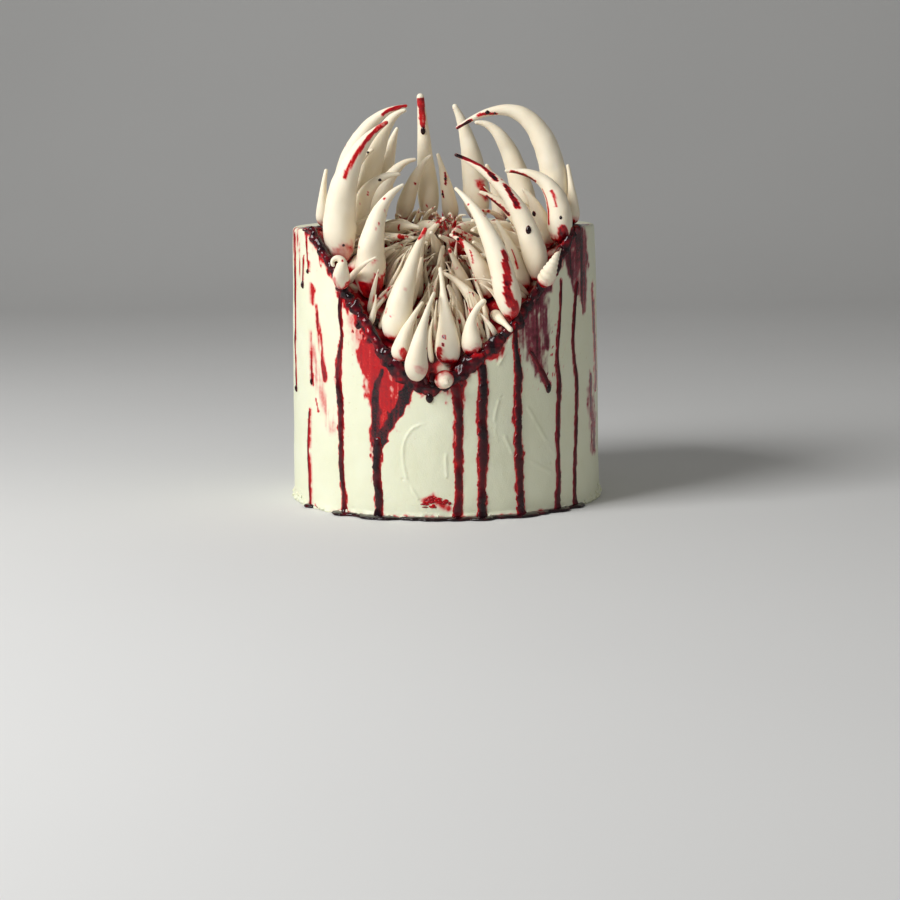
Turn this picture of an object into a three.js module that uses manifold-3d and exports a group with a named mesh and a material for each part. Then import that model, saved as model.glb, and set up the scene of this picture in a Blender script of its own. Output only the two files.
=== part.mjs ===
// A tall iced layer cake with a mouth carved into its top and front, set with piped meringue fangs.
// Millimetres, +Z up. The origin is the centre of the flat base, and the mouth opens towards -Y.
import * as THREE from "three";
import { mergeVertices } from "three/addons/utils/BufferGeometryUtils.js";
import Module from "manifold-3d";

// Driving dimensions of the iced cake.
const CAKE = {
  height: 146,
  footRadius: 83,
  topRadius: 81,
  footLip: 0.6,
  footLipHeight: 3,
  edgeRound: 2,
  edgeSteps: 3,
  sides: 72,
};

// The carved mouth. At every level it is half an ellipse behind the chord between the two edges that are
// open at the front. It narrows from the gape on top to a throat on the front side, and grows shallow.
const MOUTH = {
  floorHeight: 70,
  throatX: -9,
  straighten: 2.5,
  halfWidth: 69,
  widthFlare: 0.62,
  depth: 56,
  depthFlare: 1.15,
  overshoot: 1.2,
  levels: 11,
  levelSpacing: 1.5,
  sides: 40,
};

// A piped fang: its round foot ends at footShare of its length, swell keeps a full horn wide for longer, the
// powers sharpen a kiss and a horn, and no tip is sharper than tipRadius. The gaps part fangs and seat them.
const TAPER = { footShare: 0.17, swell: 1.8, kissPower: 1.4, hornPower: 1, tipRadius: 0.8 };
const FANG = { gap: 0.5, seatGap: 0.6, probes: 18, tangentStep: 0.01 };
const LARGE = { sides: 8, rings: [0.03, 0.09, 0.18, 0.31, 0.45, 0.59, 0.73, 0.87, 0.97] };
const SMALL = { sides: 6, rings: [0.04, 0.12, 0.24, 0.42, 0.62, 0.82, 0.96] };
const SMALL_BELOW_GIRTH = 7;

// Parting of neighbouring fangs: the number of rounds, the share of a clash that one round clears, how freely
// placed and infill fangs give way and how firmly they are drawn back, and from which round a fang with more
// than the bearable clash grows slimmer.
const PARTING = {
  rounds: 320,
  step: 0.25,
  seatStep: 0.3,
  placed: { give: 0.15, recall: 0.04 },
  infill: { give: 1, recall: 0 },
  pinchFrom: 160,
  pinch: 0.012,
  bearable: 0.12,
};

// The last lift of a fang that still touches the cake: where along it is held, and the height of a step.
const LIFT = { along: 0.1, height: 0.3, steps: 20 };

// The sampled field round the cake: half the distance between samples, and the least slope to divide by.
const FIELD = { step: 0.5, leastSlope: 0.3 };
const MERGE_WITHIN = 1e-3;

const ICING = { color: 0xe9e6c9, roughness: 0.5, metalness: 0 };
const MERINGUE = { color: 0xece4d0, roughness: 0.8, metalness: 0 };

// Fangs that shape the outline: middle of the foot, middle of the length and tip as [x, y, z], the girth, and
// the fullness (1 is a full horn, 0 a kiss with a drawn-out neck).
const PLACED_FANGS = [
  // left side of the mouth, front to back
  { foot: [-22, -73, 86], mid: [-19, -68, 97], tip: [-11, -62, 110], girth: 10, fullness: 0.5 },
  { foot: [-26, -68, 95], mid: [-20, -61, 119], tip: [-9, -51, 147], girth: 15, fullness: 0.8 },
  { foot: [-37, -61, 118], mid: [-35, -56, 149], tip: [-20, -49, 169], girth: 15.5, fullness: 0.7 },
  { foot: [-49, -60, 124], mid: [-50, -61, 131], tip: [-47, -62, 137], girth: 9.5, fullness: 0.3 },
  { foot: [-53, -50, 136], mid: [-50, -48, 173], tip: [-28, -42, 201], girth: 16.5, fullness: 1 },
  { foot: [-45, -42, 145], mid: [-39, -40, 166], tip: [-22, -37, 174], girth: 12, fullness: 0.8 },
  { foot: [-55, -32, 146], mid: [-49, -30, 171], tip: [-36, -29, 187], girth: 10.5, fullness: 0.7 },
  { foot: [-54, -20, 149], mid: [-44, -22, 191], tip: [-18, -22, 209], girth: 13, fullness: 0.8 },
  { foot: [-63, -30, 151], mid: [-63, -28, 163], tip: [-61, -27, 177], girth: 7.5, fullness: 0.5 },
  { foot: [-43, -8, 150], mid: [-34, -8, 190], tip: [-19, -8, 207], girth: 13, fullness: 0.8 },
  { foot: [-35, 6, 150], mid: [-29, 5, 182], tip: [-24, 3, 198], girth: 10.5, fullness: 0.7 },
  { foot: [-41, -16, 144], mid: [-29, -14, 171], tip: [-14, -13, 181], girth: 10.5, fullness: 0.7 },
  // front edge of the mouth
  { foot: [-14, -78, 78], mid: [-12, -72, 95], tip: [-5, -63, 115], girth: 12, fullness: 0.35 },
  { foot: [3, -76, 82], mid: [1, -69, 104], tip: [-2, -59, 127], girth: 15, fullness: 0.1 },
  { foot: [15, -74, 88], mid: [14, -73, 100], tip: [21, -71, 111], girth: 12, fullness: 0.2 },
  { foot: [0, -85, 72], mid: [0.5, -87, 71.5], tip: [1.5, -90, 71], girth: 10, fullness: 0.5 },
  { foot: [27, -75, 102], mid: [30, -79, 100], tip: [34, -83, 96], girth: 8, fullness: 0.3 },
  { foot: [19, -66, 103], mid: [11, -60, 115], tip: [-1, -53, 124], girth: 11, fullness: 0.6 },
  // right side of the mouth, front to back
  { foot: [28, -61, 113], mid: [23, -55, 142], tip: [6, -46, 167], girth: 15.5, fullness: 0.9 },
  { foot: [21, -56, 114], mid: [16, -51, 131], tip: [3, -44, 143], girth: 10.5, fullness: 0.7 },
  { foot: [41, -59, 118], mid: [36, -53, 134], tip: [27, -47, 150], girth: 11, fullness: 0.7 },
  { foot: [49, -61, 124], mid: [54, -62, 130], tip: [59, -60, 136], girth: 8.5, fullness: 0.6 },
  { foot: [45, -55, 126], mid: [36, -50, 159], tip: [6, -41, 184], girth: 15.5, fullness: 0.9 },
  { foot: [53, -41, 140], mid: [49, -38, 154], tip: [41, -36, 166], girth: 10.5, fullness: 0.8 },
  { foot: [62, -45, 141], mid: [57, -40, 165], tip: [32, -36, 175], girth: 13, fullness: 0.8 },
  { foot: [60, -22, 149], mid: [46, -21, 200], tip: [7, -20, 197], girth: 13.5, fullness: 0.9 },
  { foot: [67, -30, 151], mid: [67, -28, 163], tip: [65, -26, 178], girth: 7.5, fullness: 0.5 },
  { foot: [44, -4, 150], mid: [34, -2, 187], tip: [17, -2, 200], girth: 12.5, fullness: 0.8 },
  { foot: [45, -30, 142], mid: [34, -24, 155], tip: [19, -20, 164], girth: 9.5, fullness: 0.7 },
  // back of the mouth
  { foot: [-8, 20, 150], mid: [-10, 17, 186], tip: [-12, 13, 216], girth: 11.5, fullness: 0.75 },
  { foot: [-22, 14, 150], mid: [-15, 9, 171], tip: [-6, 4, 183], girth: 9.5, fullness: 0.6 },
  { foot: [18, 19, 150], mid: [15, 17, 183], tip: [6, 14, 210], girth: 14.5, fullness: 0.9 },
  { foot: [4, 18, 149], mid: [1, 13, 168], tip: [-3, 9, 184], girth: 9, fullness: 0.6 },
  { foot: [31, 12, 150], mid: [28, 8, 165], tip: [23, 4, 178], girth: 9, fullness: 0.6 },
];

// Infill: rows of slimmer fangs up the back and sides of the mouth, every one leaning in on a common focus.
const INFILL_ROWS = [
  { level: 0.9, count: 6, spread: 60, length: 40, girth: 9.5 },
  { level: 0.7, count: 9, spread: 78, length: 35, girth: 8.5 },
  { level: 0.52, count: 7, spread: 62, length: 30, girth: 7 },
  { level: 0.36, count: 3, spread: 40, length: 24, girth: 5.5 },
];
const FOCUS = new THREE.Vector3(0, -56, 152);
const INFILL_SHAPE = { bow: 2, fullness: 0.65 };
const INFILL_JITTER = { bearing: 6, length: 0.2, aim: 10 };
const INFILL_STAGGER = [0.6, 0.4];
const INFILL_SEED = 11;

// The multiplier and modulus of a repeatable stream of numbers.
const STREAM = { multiplier: 16807, modulus: 2147483647 };

const wasm = await Module();
wasm.setup();

// A repeatable stream of numbers between -1 and 1.
function jitterFrom(seed) {
  let state = seed;
  return () => {
    state = (state * STREAM.multiplier) % STREAM.modulus;
    return (state / STREAM.modulus) * 2 - 1;
  };
}

// The mouth's ellipse at a level from 0, the throat, to 1, the cake's top.
function mouthEllipse(level) {
  const open = Math.max(level, 0);
  const halfWidth = MOUTH.halfWidth * Math.min(open, 1) ** MOUTH.widthFlare;
  return {
    x: MOUTH.throatX * (1 - Math.min(open, 1)) ** MOUTH.straighten,
    y: -Math.sqrt(CAKE.topRadius ** 2 - halfWidth ** 2),
    z: THREE.MathUtils.lerp(MOUTH.floorHeight, CAKE.height, level),
    halfWidth,
    depth: MOUTH.depth * open ** MOUTH.depthFlare,
  };
}

// A point on the mouth's wall. The bearing is 0 at the back, negative to the left, positive to the right.
function mouthWall(level, bearing) {
  const ring = mouthEllipse(level);
  const angle = THREE.MathUtils.degToRad(bearing);
  return new THREE.Vector3(
    ring.x + ring.halfWidth * Math.sin(angle),
    ring.y + ring.depth * Math.cos(angle),
    ring.z,
  );
}

function solidFrom(geometry) {
  const bare = geometry.clone();
  bare.deleteAttribute("normal");
  bare.deleteAttribute("uv");
  const merged = mergeVertices(bare, MERGE_WITHIN);
  return new wasm.Manifold(
    new wasm.Mesh({
      numProp: 3,
      vertProperties: merged.attributes.position.array,
      triVerts: new Uint32Array(merged.index.array),
    }),
  );
}

function geometryFrom(solid) {
  const mesh = solid.getMesh();
  const geometry = new THREE.BufferGeometry();
  geometry.setAttribute("position", new THREE.BufferAttribute(mesh.vertProperties, 3));
  geometry.setIndex(new THREE.BufferAttribute(mesh.triVerts, 1));
  geometry.computeVertexNormals();
  return geometry;
}

// A closed skin over rings of points, with a pole at each end. Rings are anticlockwise from the last pole.
function skinOver(firstPole, rings, lastPole) {
  const sides = rings[0].length;
  const points = [firstPole, ...rings.flat(), lastPole];
  const last = points.length - 1;
  const at = (ring, side) => 1 + ring * sides + (side % sides);
  const faces = [];
  for (let side = 0; side < sides; side++) {
    faces.push(0, at(0, side + 1), at(0, side));
    for (let ring = 0; ring + 1 < rings.length; ring++) {
      faces.push(at(ring, side), at(ring, side + 1), at(ring + 1, side));
      faces.push(at(ring + 1, side), at(ring, side + 1), at(ring + 1, side + 1));
    }
    faces.push(last, at(rings.length - 1, side), at(rings.length - 1, side + 1));
  }
  const geometry = new THREE.BufferGeometry().setFromPoints(points);
  geometry.setIndex(faces);
  geometry.computeVertexNormals();
  return geometry;
}

// The iced cake before carving: sides with a slight taper, a soft top edge and a lip of icing at the foot.
function uncutCake() {
  const profile = new THREE.Path();
  profile.moveTo(0, 0);
  profile.lineTo(CAKE.footRadius + CAKE.footLip, 0);
  profile.lineTo(CAKE.footRadius, CAKE.footLipHeight);
  profile.lineTo(CAKE.topRadius, CAKE.height - CAKE.edgeRound);
  profile.quadraticCurveTo(CAKE.topRadius, CAKE.height, CAKE.topRadius - CAKE.edgeRound, CAKE.height);
  profile.lineTo(0, CAKE.height);
  const lathe = new THREE.LatheGeometry(profile.getPoints(CAKE.edgeSteps), CAKE.sides);
  return solidFrom(lathe.rotateX(Math.PI / 2));
}

function mouthCutter() {
  const rings = [];
  for (let step = 1; step <= MOUTH.levels; step++) {
    const level = MOUTH.overshoot * (step / MOUTH.levels) ** MOUTH.levelSpacing;
    const ring = [];
    for (let side = 0; side < MOUTH.sides; side++) {
      ring.push(mouthWall(level, (-360 * side) / MOUTH.sides));
    }
    rings.push(ring);
  }
  const [throat, top] = [mouthEllipse(0), mouthEllipse(MOUTH.overshoot)];
  const throatPoint = new THREE.Vector3(throat.x, throat.y, throat.z);
  const topPoint = new THREE.Vector3(top.x, top.y, top.z);
  return solidFrom(skinOver(throatPoint, rings, topPoint));
}

// Roughly the distance from a point to the carved cake: positive in the open, negative in the cake.
function fieldOfCake(point) {
  const sideRadius = THREE.MathUtils.lerp(CAKE.footRadius, CAKE.topRadius, point.z / CAKE.height);
  const outside = Math.max(Math.hypot(point.x, point.y) - sideRadius, point.z - CAKE.height);
  const level = (point.z - MOUTH.floorHeight) / (CAKE.height - MOUTH.floorHeight);
  if (level <= 0) return outside;
  const ring = mouthEllipse(level);
  const reach = Math.hypot((point.x - ring.x) / ring.halfWidth, (point.y - ring.y) / ring.depth);
  return Math.max(outside, (1 - reach) * Math.min(ring.halfWidth, ring.depth));
}

function clearanceFromCake(point) {
  const away = new THREE.Vector3();
  for (const axis of ["x", "y", "z"]) {
    const ahead = point.clone();
    const behind = point.clone();
    ahead[axis] += FIELD.step;
    behind[axis] -= FIELD.step;
    away[axis] = (fieldOfCake(ahead) - fieldOfCake(behind)) / (2 * FIELD.step);
  }
  const slope = Math.max(away.length(), FIELD.leastSlope);
  return { distance: fieldOfCake(point) / slope, away: away.divideScalar(slope) };
}

// Radius along a fang as a share of half its girth, from the foot (0) to the tip (1).
function fangTaper(along, fullness) {
  const rise = Math.min(along / TAPER.footShare, 1);
  const foot = Math.sqrt(rise * (2 - rise));
  const power = THREE.MathUtils.lerp(TAPER.kissPower, TAPER.hornPower, fullness);
  return foot * (1 - along ** (1 + TAPER.swell * fullness)) ** power;
}

function fangRadius(fang, along) {
  const tip = TAPER.tipRadius * Math.min(1, along / TAPER.footShare);
  return Math.max((fang.girth / 2) * fangTaper(along, fang.fullness), tip);
}

// The three points that steer a fang: the underside of its foot, the bend that takes it through mid, the tip.
function steerFang({ foot, mid, tip, girth, fullness, give, recall }) {
  const [start, middle, end] = [foot, mid, tip].map((place) => new THREE.Vector3(...place));
  const setting = start.clone().sub(middle).setLength(girth / 2);
  start.add(setting);
  const bend = middle.multiplyScalar(2).addScaledVector(start, -0.5).addScaledVector(end, -0.5);
  const steer = [start, bend, end];
  return { steer, home: steer.map((point) => point.clone()), girth, fullness, give, recall };
}

const steerWeights = (along) => [(1 - along) ** 2, 2 * along * (1 - along), along ** 2];

function fangPoint(fang, along) {
  const point = new THREE.Vector3();
  steerWeights(along).forEach((weight, index) => point.addScaledVector(fang.steer[index], weight));
  return point;
}

// Moves the fang so that its point at this share of the length shifts by the push.
function pushFang(fang, along, push) {
  const weights = steerWeights(along);
  const total = weights.reduce((sum, weight) => sum + weight * weight, 0);
  weights.forEach((weight, index) => fang.steer[index].addScaledVector(push, weight / total));
}

function infillFangs() {
  const jitter = jitterFrom(INFILL_SEED);
  return INFILL_ROWS.flatMap((row, rowIndex) =>
    Array.from({ length: row.count }, (_, index) => {
      const share = (index + INFILL_STAGGER[rowIndex % INFILL_STAGGER.length]) / row.count;
      const bearing = THREE.MathUtils.lerp(-row.spread, row.spread, share);
      const foot = mouthWall(row.level, bearing + INFILL_JITTER.bearing * jitter());
      const aim = FOCUS.clone();
      for (const axis of ["x", "y", "z"]) aim[axis] += INFILL_JITTER.aim * jitter();
      const length = row.length * (1 + INFILL_JITTER.length * jitter());
      const tip = aim.sub(foot).setLength(length).add(foot);
      const mid = foot.clone().lerp(tip, 0.5);
      mid.z += INFILL_SHAPE.bow;
      return {
        foot: foot.toArray(),
        mid: mid.toArray(),
        tip: tip.toArray(),
        girth: row.girth,
        fullness: INFILL_SHAPE.fullness,
        ...PARTING.infill,
      };
    }),
  );
}

// Discs along a fang's centre line, and a ball that holds the whole fang.
function probeFang(fang) {
  const points = Array.from({ length: FANG.probes }, (_, index) => {
    const along = index / (FANG.probes - 1);
    const ahead = fangPoint(fang, along + FANG.tangentStep);
    const forward = ahead.sub(fangPoint(fang, along - FANG.tangentStep)).normalize();
    return { along, forward, point: fangPoint(fang, along), radius: fangRadius(fang, along) };
  });
  const ball = new THREE.Sphere().setFromPoints(points.map((probe) => probe.point));
  ball.radius += fang.girth / 2 + FANG.gap;
  return { points, ball };
}

// Pushes two fangs apart and returns the most that they lacked.
function partPair(fang, probes, rival, rivalProbes) {
  const give = fang.give + rival.give;
  let worst = 0;
  for (const mine of probes.points)
    for (const theirs of rivalProbes.points) {
      const apart = mine.point.clone().sub(theirs.point);
      const lack = mine.radius + theirs.radius + FANG.gap - apart.length();
      if (lack <= 0) continue;
      worst = Math.max(worst, lack);
      apart.setLength(lack * PARTING.step);
      pushFang(fang, mine.along, apart.clone().multiplyScalar(fang.give / give));
      pushFang(rival, theirs.along, apart.multiplyScalar(-rival.give / give));
    }
  return worst;
}

// Keeps a fang out of the cake, and draws its foot to the surface that it is stuck to.
function partFromCake(fang, probes) {
  probes.points.forEach((probe, index) => {
    const { distance, away } = clearanceFromCake(probe.point);
    const leaning = Math.sqrt(Math.max(0, 1 - probe.forward.dot(away) ** 2));
    const lack = probe.radius * leaning + FANG.seatGap - distance;
    const isFoot = index === 0;
    if (lack <= 0 && !isFoot) return;
    pushFang(fang, probe.along, away.multiplyScalar(lack * PARTING.seatStep));
  });
}

// Draws a fang back to its place in the front view. Its depth stays free.
function recallFang(fang) {
  fang.steer.forEach((point, index) => {
    point.x = THREE.MathUtils.lerp(point.x, fang.home[index].x, fang.recall);
    point.z = THREE.MathUtils.lerp(point.z, fang.home[index].z, fang.recall);
  });
}

// Parts the fangs from each other and from the cake, a little in each round. Late on, crowded ones grow slim.
function partFangs(fangs) {
  for (let round = 0; round < PARTING.rounds; round++) {
    const probes = fangs.map(probeFang);
    const crowding = fangs.map(() => 0);
    fangs.forEach((fang, index) => {
      recallFang(fang);
      partFromCake(fang, probes[index]);
      for (let other = index + 1; other < fangs.length; other++) {
        if (!probes[index].ball.intersectsSphere(probes[other].ball)) continue;
        const lack = partPair(fang, probes[index], fangs[other], probes[other]);
        crowding[index] = Math.max(crowding[index], lack);
        crowding[other] = Math.max(crowding[other], lack);
      }
    });
    if (round < PARTING.pinchFrom) continue;
    fangs.forEach((fang, index) => {
      if (crowding[index] > PARTING.bearable) fang.girth *= 1 - PARTING.pinch * fang.give;
    });
  }
}

// A fang's skin: rings square to its centre line, turned as little as possible from one to the next.
function fangGeometry(fang) {
  const { sides, rings } = fang.girth < SMALL_BELOW_GIRTH ? SMALL : LARGE;
  const curve = new THREE.QuadraticBezierCurve3(...fang.steer);
  const side = new THREE.Vector3(1, 0, 0);
  const loops = rings.map((along) => {
    const centre = fangPoint(fang, along);
    const forward = curve.getTangent(along);
    side.addScaledVector(forward, -side.dot(forward)).normalize();
    const across = new THREE.Vector3().crossVectors(forward, side);
    return Array.from({ length: sides }, (_, index) => {
      const angle = (2 * Math.PI * index) / sides;
      return centre
        .clone()
        .addScaledVector(side, fangRadius(fang, along) * Math.cos(angle))
        .addScaledVector(across, fangRadius(fang, along) * Math.sin(angle));
    });
  });
  return skinOver(fangPoint(fang, 0), loops, fangPoint(fang, 1));
}

// Lifts a fang off the faceted cake, in small steps, and one step more once the two no longer touch.
function liftClear(fang, cake) {
  let touches = true;
  for (let step = 0; touches && step < LIFT.steps; step++) {
    touches = solidFrom(fangGeometry(fang)).intersect(cake).volume() > 0;
    const { away } = clearanceFromCake(fangPoint(fang, LIFT.along));
    pushFang(fang, LIFT.along, away.setLength(LIFT.height));
  }
}

const icing = new THREE.MeshStandardMaterial(ICING);
const meringue = new THREE.MeshStandardMaterial(MERINGUE);

const layerCake = new THREE.Group();
const carvedCake = uncutCake().subtract(mouthCutter());
const iced = new THREE.Mesh(geometryFrom(carvedCake), icing);
iced.name = "iced_cake";
layerCake.add(iced);

const placed = PLACED_FANGS.map((fang) => ({ ...fang, ...PARTING.placed }));
const fangs = [...placed, ...infillFangs()].map(steerFang);
partFangs(fangs);
fangs.forEach((fang, index) => {
  liftClear(fang, carvedCake);
  const mesh = new THREE.Mesh(fangGeometry(fang), meringue.clone());
  mesh.name = `fang_${String(index + 1).padStart(2, "0")}`;
  layerCake.add(mesh);
});

export default layerCake;
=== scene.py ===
"""Looks of an iced layer cake with meringue fangs and berry sauce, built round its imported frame."""

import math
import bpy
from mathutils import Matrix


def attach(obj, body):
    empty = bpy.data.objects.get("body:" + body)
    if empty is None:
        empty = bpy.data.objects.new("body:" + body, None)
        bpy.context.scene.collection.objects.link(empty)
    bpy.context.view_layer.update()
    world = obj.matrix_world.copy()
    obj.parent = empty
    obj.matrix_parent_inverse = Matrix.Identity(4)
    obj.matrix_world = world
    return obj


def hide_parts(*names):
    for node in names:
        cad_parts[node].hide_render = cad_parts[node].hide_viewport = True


bl_info = {
    "name": "Fanged Layer Cake",
    "version": (1, 0, 0),
    "blender": (4, 5, 0),
    "location": "View3D > Sidebar > Cake",
    "description": "Icing, meringue fangs and berry sauce of a carved layer cake",
    "category": "Object",
}

import bmesh
import bpy
import numpy as np
from mathutils import Matrix, Vector

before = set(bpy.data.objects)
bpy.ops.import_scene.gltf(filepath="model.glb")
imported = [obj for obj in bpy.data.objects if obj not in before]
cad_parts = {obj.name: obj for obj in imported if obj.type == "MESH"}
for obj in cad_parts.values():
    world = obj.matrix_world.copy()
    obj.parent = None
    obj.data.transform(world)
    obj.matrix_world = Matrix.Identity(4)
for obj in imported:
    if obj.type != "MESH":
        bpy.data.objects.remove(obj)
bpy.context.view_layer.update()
MM = 0.001
BODY = "root"
FANG_NODES = sorted(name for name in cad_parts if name.startswith("fang_"))

# The carved cake in millimetres: its side, its rounded top edge, and the mouth's half ellipse at every
# level.
CAKE = {"height": 146.0, "foot": 83.0, "top": 81.0, "round": 2.0}
MOUTH = {"floor": 70.0, "throat_x": -9.0, "straighten": 2.5, "half_width": 69.0, "width_flare": 0.62}
MOUTH.update({"depth": 56.0, "depth_flare": 1.15})
FOCUS = np.array((0.0, -56.0, 152.0))
FLOOR_GAP = 0.02

# How a piped fang tapers, and where along it the frame's rings lie.
TAPER = {"foot_share": 0.17, "swell": 1.8, "kiss": 1.4, "horn": 1.0}
RINGS = {
    8: (0.03, 0.09, 0.18, 0.31, 0.45, 0.59, 0.73, 0.87, 0.97),
    6: (0.04, 0.12, 0.24, 0.42, 0.62, 0.82, 0.96),
}

# The last places along a piped fang, the tip's radius, and the fangs that curl over or are rippled.
# Fangs go by
# number, and a curl's values are where it starts, its first and last radius, and its turn in degrees.
TIP_STEPS = (0.96, 0.97, 0.978, 0.985, 0.99, 0.994, 0.9975, 1.0)
TIP_RADIUS = 0.95
BLUNT = {30: 2.0, 32: 1.5, 15: 1.5, 17: 1.3, 2: 1.1, 14: 1.1}
CURLS = {4: (0.5, 3.0, 1.7, 235)}
WRINKLED = (22,)
FANG_WOBBLE = 0.075
NEEDLE_WOBBLE = 0.06
NEEDLE_SIDES = 10


def lattice(corner, seed):
    """A repeatable number between -1 and 1 for every corner of a lattice."""
    value = corner[:, 0] * 374761393 + corner[:, 1] * 668265263 + corner[:, 2] * 1442695041 + seed * 974711
    value = (value ^ (value >> 13)) * 1274126177 & 0xFFFFFFFF
    value = (value ^ (value >> 16)) * 2246822519 & 0xFFFFFFFF
    return ((value ^ (value >> 15)) & 0xFFFF) / 32767.5 - 1.0


def cloud(points, grain, seed):
    """Smooth noise between -1 and 1 at points in millimetres. The grain is one size or one for each axis."""
    place = np.asarray(points, float) / np.asarray(grain, float)
    base = np.floor(place).astype(np.int64)
    part = place - base
    ease = part * part * (3 - 2 * part)
    total = np.zeros(len(place))
    for corner in np.ndindex(2, 2, 2):
        weight = np.prod(np.where(corner, ease, 1 - ease), axis=1)
        total += weight * lattice(base + np.array(corner), seed)
    return total


def billow(points, grain, seed, octaves=3):
    """Several sizes of noise added up."""
    return sum(cloud(points, np.asarray(grain) / 2**k, seed + k) / 2**k for k in range(octaves))


def ease_between(value, low, high):
    """0 below low, 1 above high, smooth between. Works downwards too."""
    share = np.clip((value - low) / (high - low), 0, 1)
    return share * share * (3 - 2 * share)


def side_radius(z):
    """Radius of the cake's side, with its rounded top edge."""
    start = CAKE["height"] - CAKE["round"]
    over = np.clip(z - start, 0, CAKE["round"])
    plain = np.interp(z, (0, start), (CAKE["foot"], CAKE["top"]))
    return plain - CAKE["round"] + np.sqrt(CAKE["round"] ** 2 - over**2)


def polar(bearing, radius, z):
    """Points from bearings, 0 at the front and growing to the right."""
    bearing, radius, z = np.broadcast_arrays(bearing, radius, z)
    return np.stack((radius * np.sin(bearing), -radius * np.cos(bearing), z), axis=-1).astype(float)


def mouth_at(level):
    """Middle, half width and depth of the mouth at levels from 0, the throat, to 1, the top."""
    open_part = np.clip(level, 0, 1)
    middle = MOUTH["throat_x"] * (1 - open_part) ** MOUTH["straighten"]
    half = MOUTH["half_width"] * open_part ** MOUTH["width_flare"]
    depth = MOUTH["depth"] * open_part ** MOUTH["depth_flare"]
    return middle, half, depth


def level_height(level):
    """Height of a level of the mouth."""
    return MOUTH["floor"] + (CAKE["height"] - MOUTH["floor"]) * level


def rim_bearing(level, hand):
    """Bearing of the mouth's edge on the cake's side, hand -1 for left and 1 for right."""
    middle, half, _ = mouth_at(level)
    return np.arcsin(np.clip((middle + hand * half) / side_radius(level_height(level)), -1, 1))


def wall_point(level, angle):
    """Points on the mouth's wall. The angle is 0 at the back and a right angle at the edges."""
    level, angle = np.broadcast_arrays(level, angle)
    middle, half, depth = mouth_at(level)
    z = level_height(level)
    radius = side_radius(z)
    left = -radius * np.cos(rim_bearing(level, -1))
    right = -radius * np.cos(rim_bearing(level, 1))
    across = np.sin(angle)
    y = left + (right - left) * (across + 1) / 2 + depth * np.cos(angle)
    return np.stack((middle + half * across, y, z), axis=-1)


def unrolled(bearing, z):
    """The side laid flat: millimetres along the girth, a fixed middle value, and height."""
    return np.stack((bearing * CAKE["foot"], np.zeros_like(z), z), axis=-1)


def along_path(path, step):
    """A smooth resampling of control rows [first, second, ...] at even steps, and each sample's share."""
    rows = np.asarray(path, float)
    if len(rows) < 2:
        return rows
    padded = np.vstack((2 * rows[0] - rows[1], rows, 2 * rows[-1] - rows[-2]))
    dense = []
    for index in range(1, len(rows)):
        before, start, end, after = padded[index - 1 : index + 3]
        share = np.linspace(0, 1, 24, endpoint=False)[:, None]
        dense.append(
            0.5
            * (
                2 * start
                + (end - before) * share
                + (2 * before - 5 * start + 4 * end - after) * share**2
                + (3 * start - before - 3 * end + after) * share**3
            )
        )
    dense = np.vstack((*dense, rows[-1:]))
    length = np.concatenate(([0], np.cumsum(np.linalg.norm(np.diff(dense[:, :2], axis=0), axis=1))))
    count = max(3, int(length[-1] / step) + 1)
    even = np.linspace(0, length[-1], count)
    return np.stack([np.interp(even, length, column) for column in dense.T], axis=-1)


def stroke_distance(flat, path):
    """Distance of flat points from a path of rows [bearing, z, half width], and the half width there."""
    rows = np.asarray(path, float)
    line = np.stack((np.radians(rows[:, 0]) * CAKE["foot"], rows[:, 1]), axis=-1)
    best = np.full(len(flat), 1e9)
    width = np.ones(len(flat))
    for start, end, wide_start, wide_end in zip(line, line[1:], rows[:, 2], rows[1:, 2]):
        run = end - start
        share = np.clip(((flat - start) @ run) / (run @ run), 0, 1)
        gap = np.linalg.norm(flat - start - share[:, None] * run, axis=1)
        wide = wide_start + (wide_end - wide_start) * share
        closer = gap / wide < best / width
        best = np.where(closer, gap, best)
        width = np.where(closer, wide, width)
    return best, width


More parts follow.
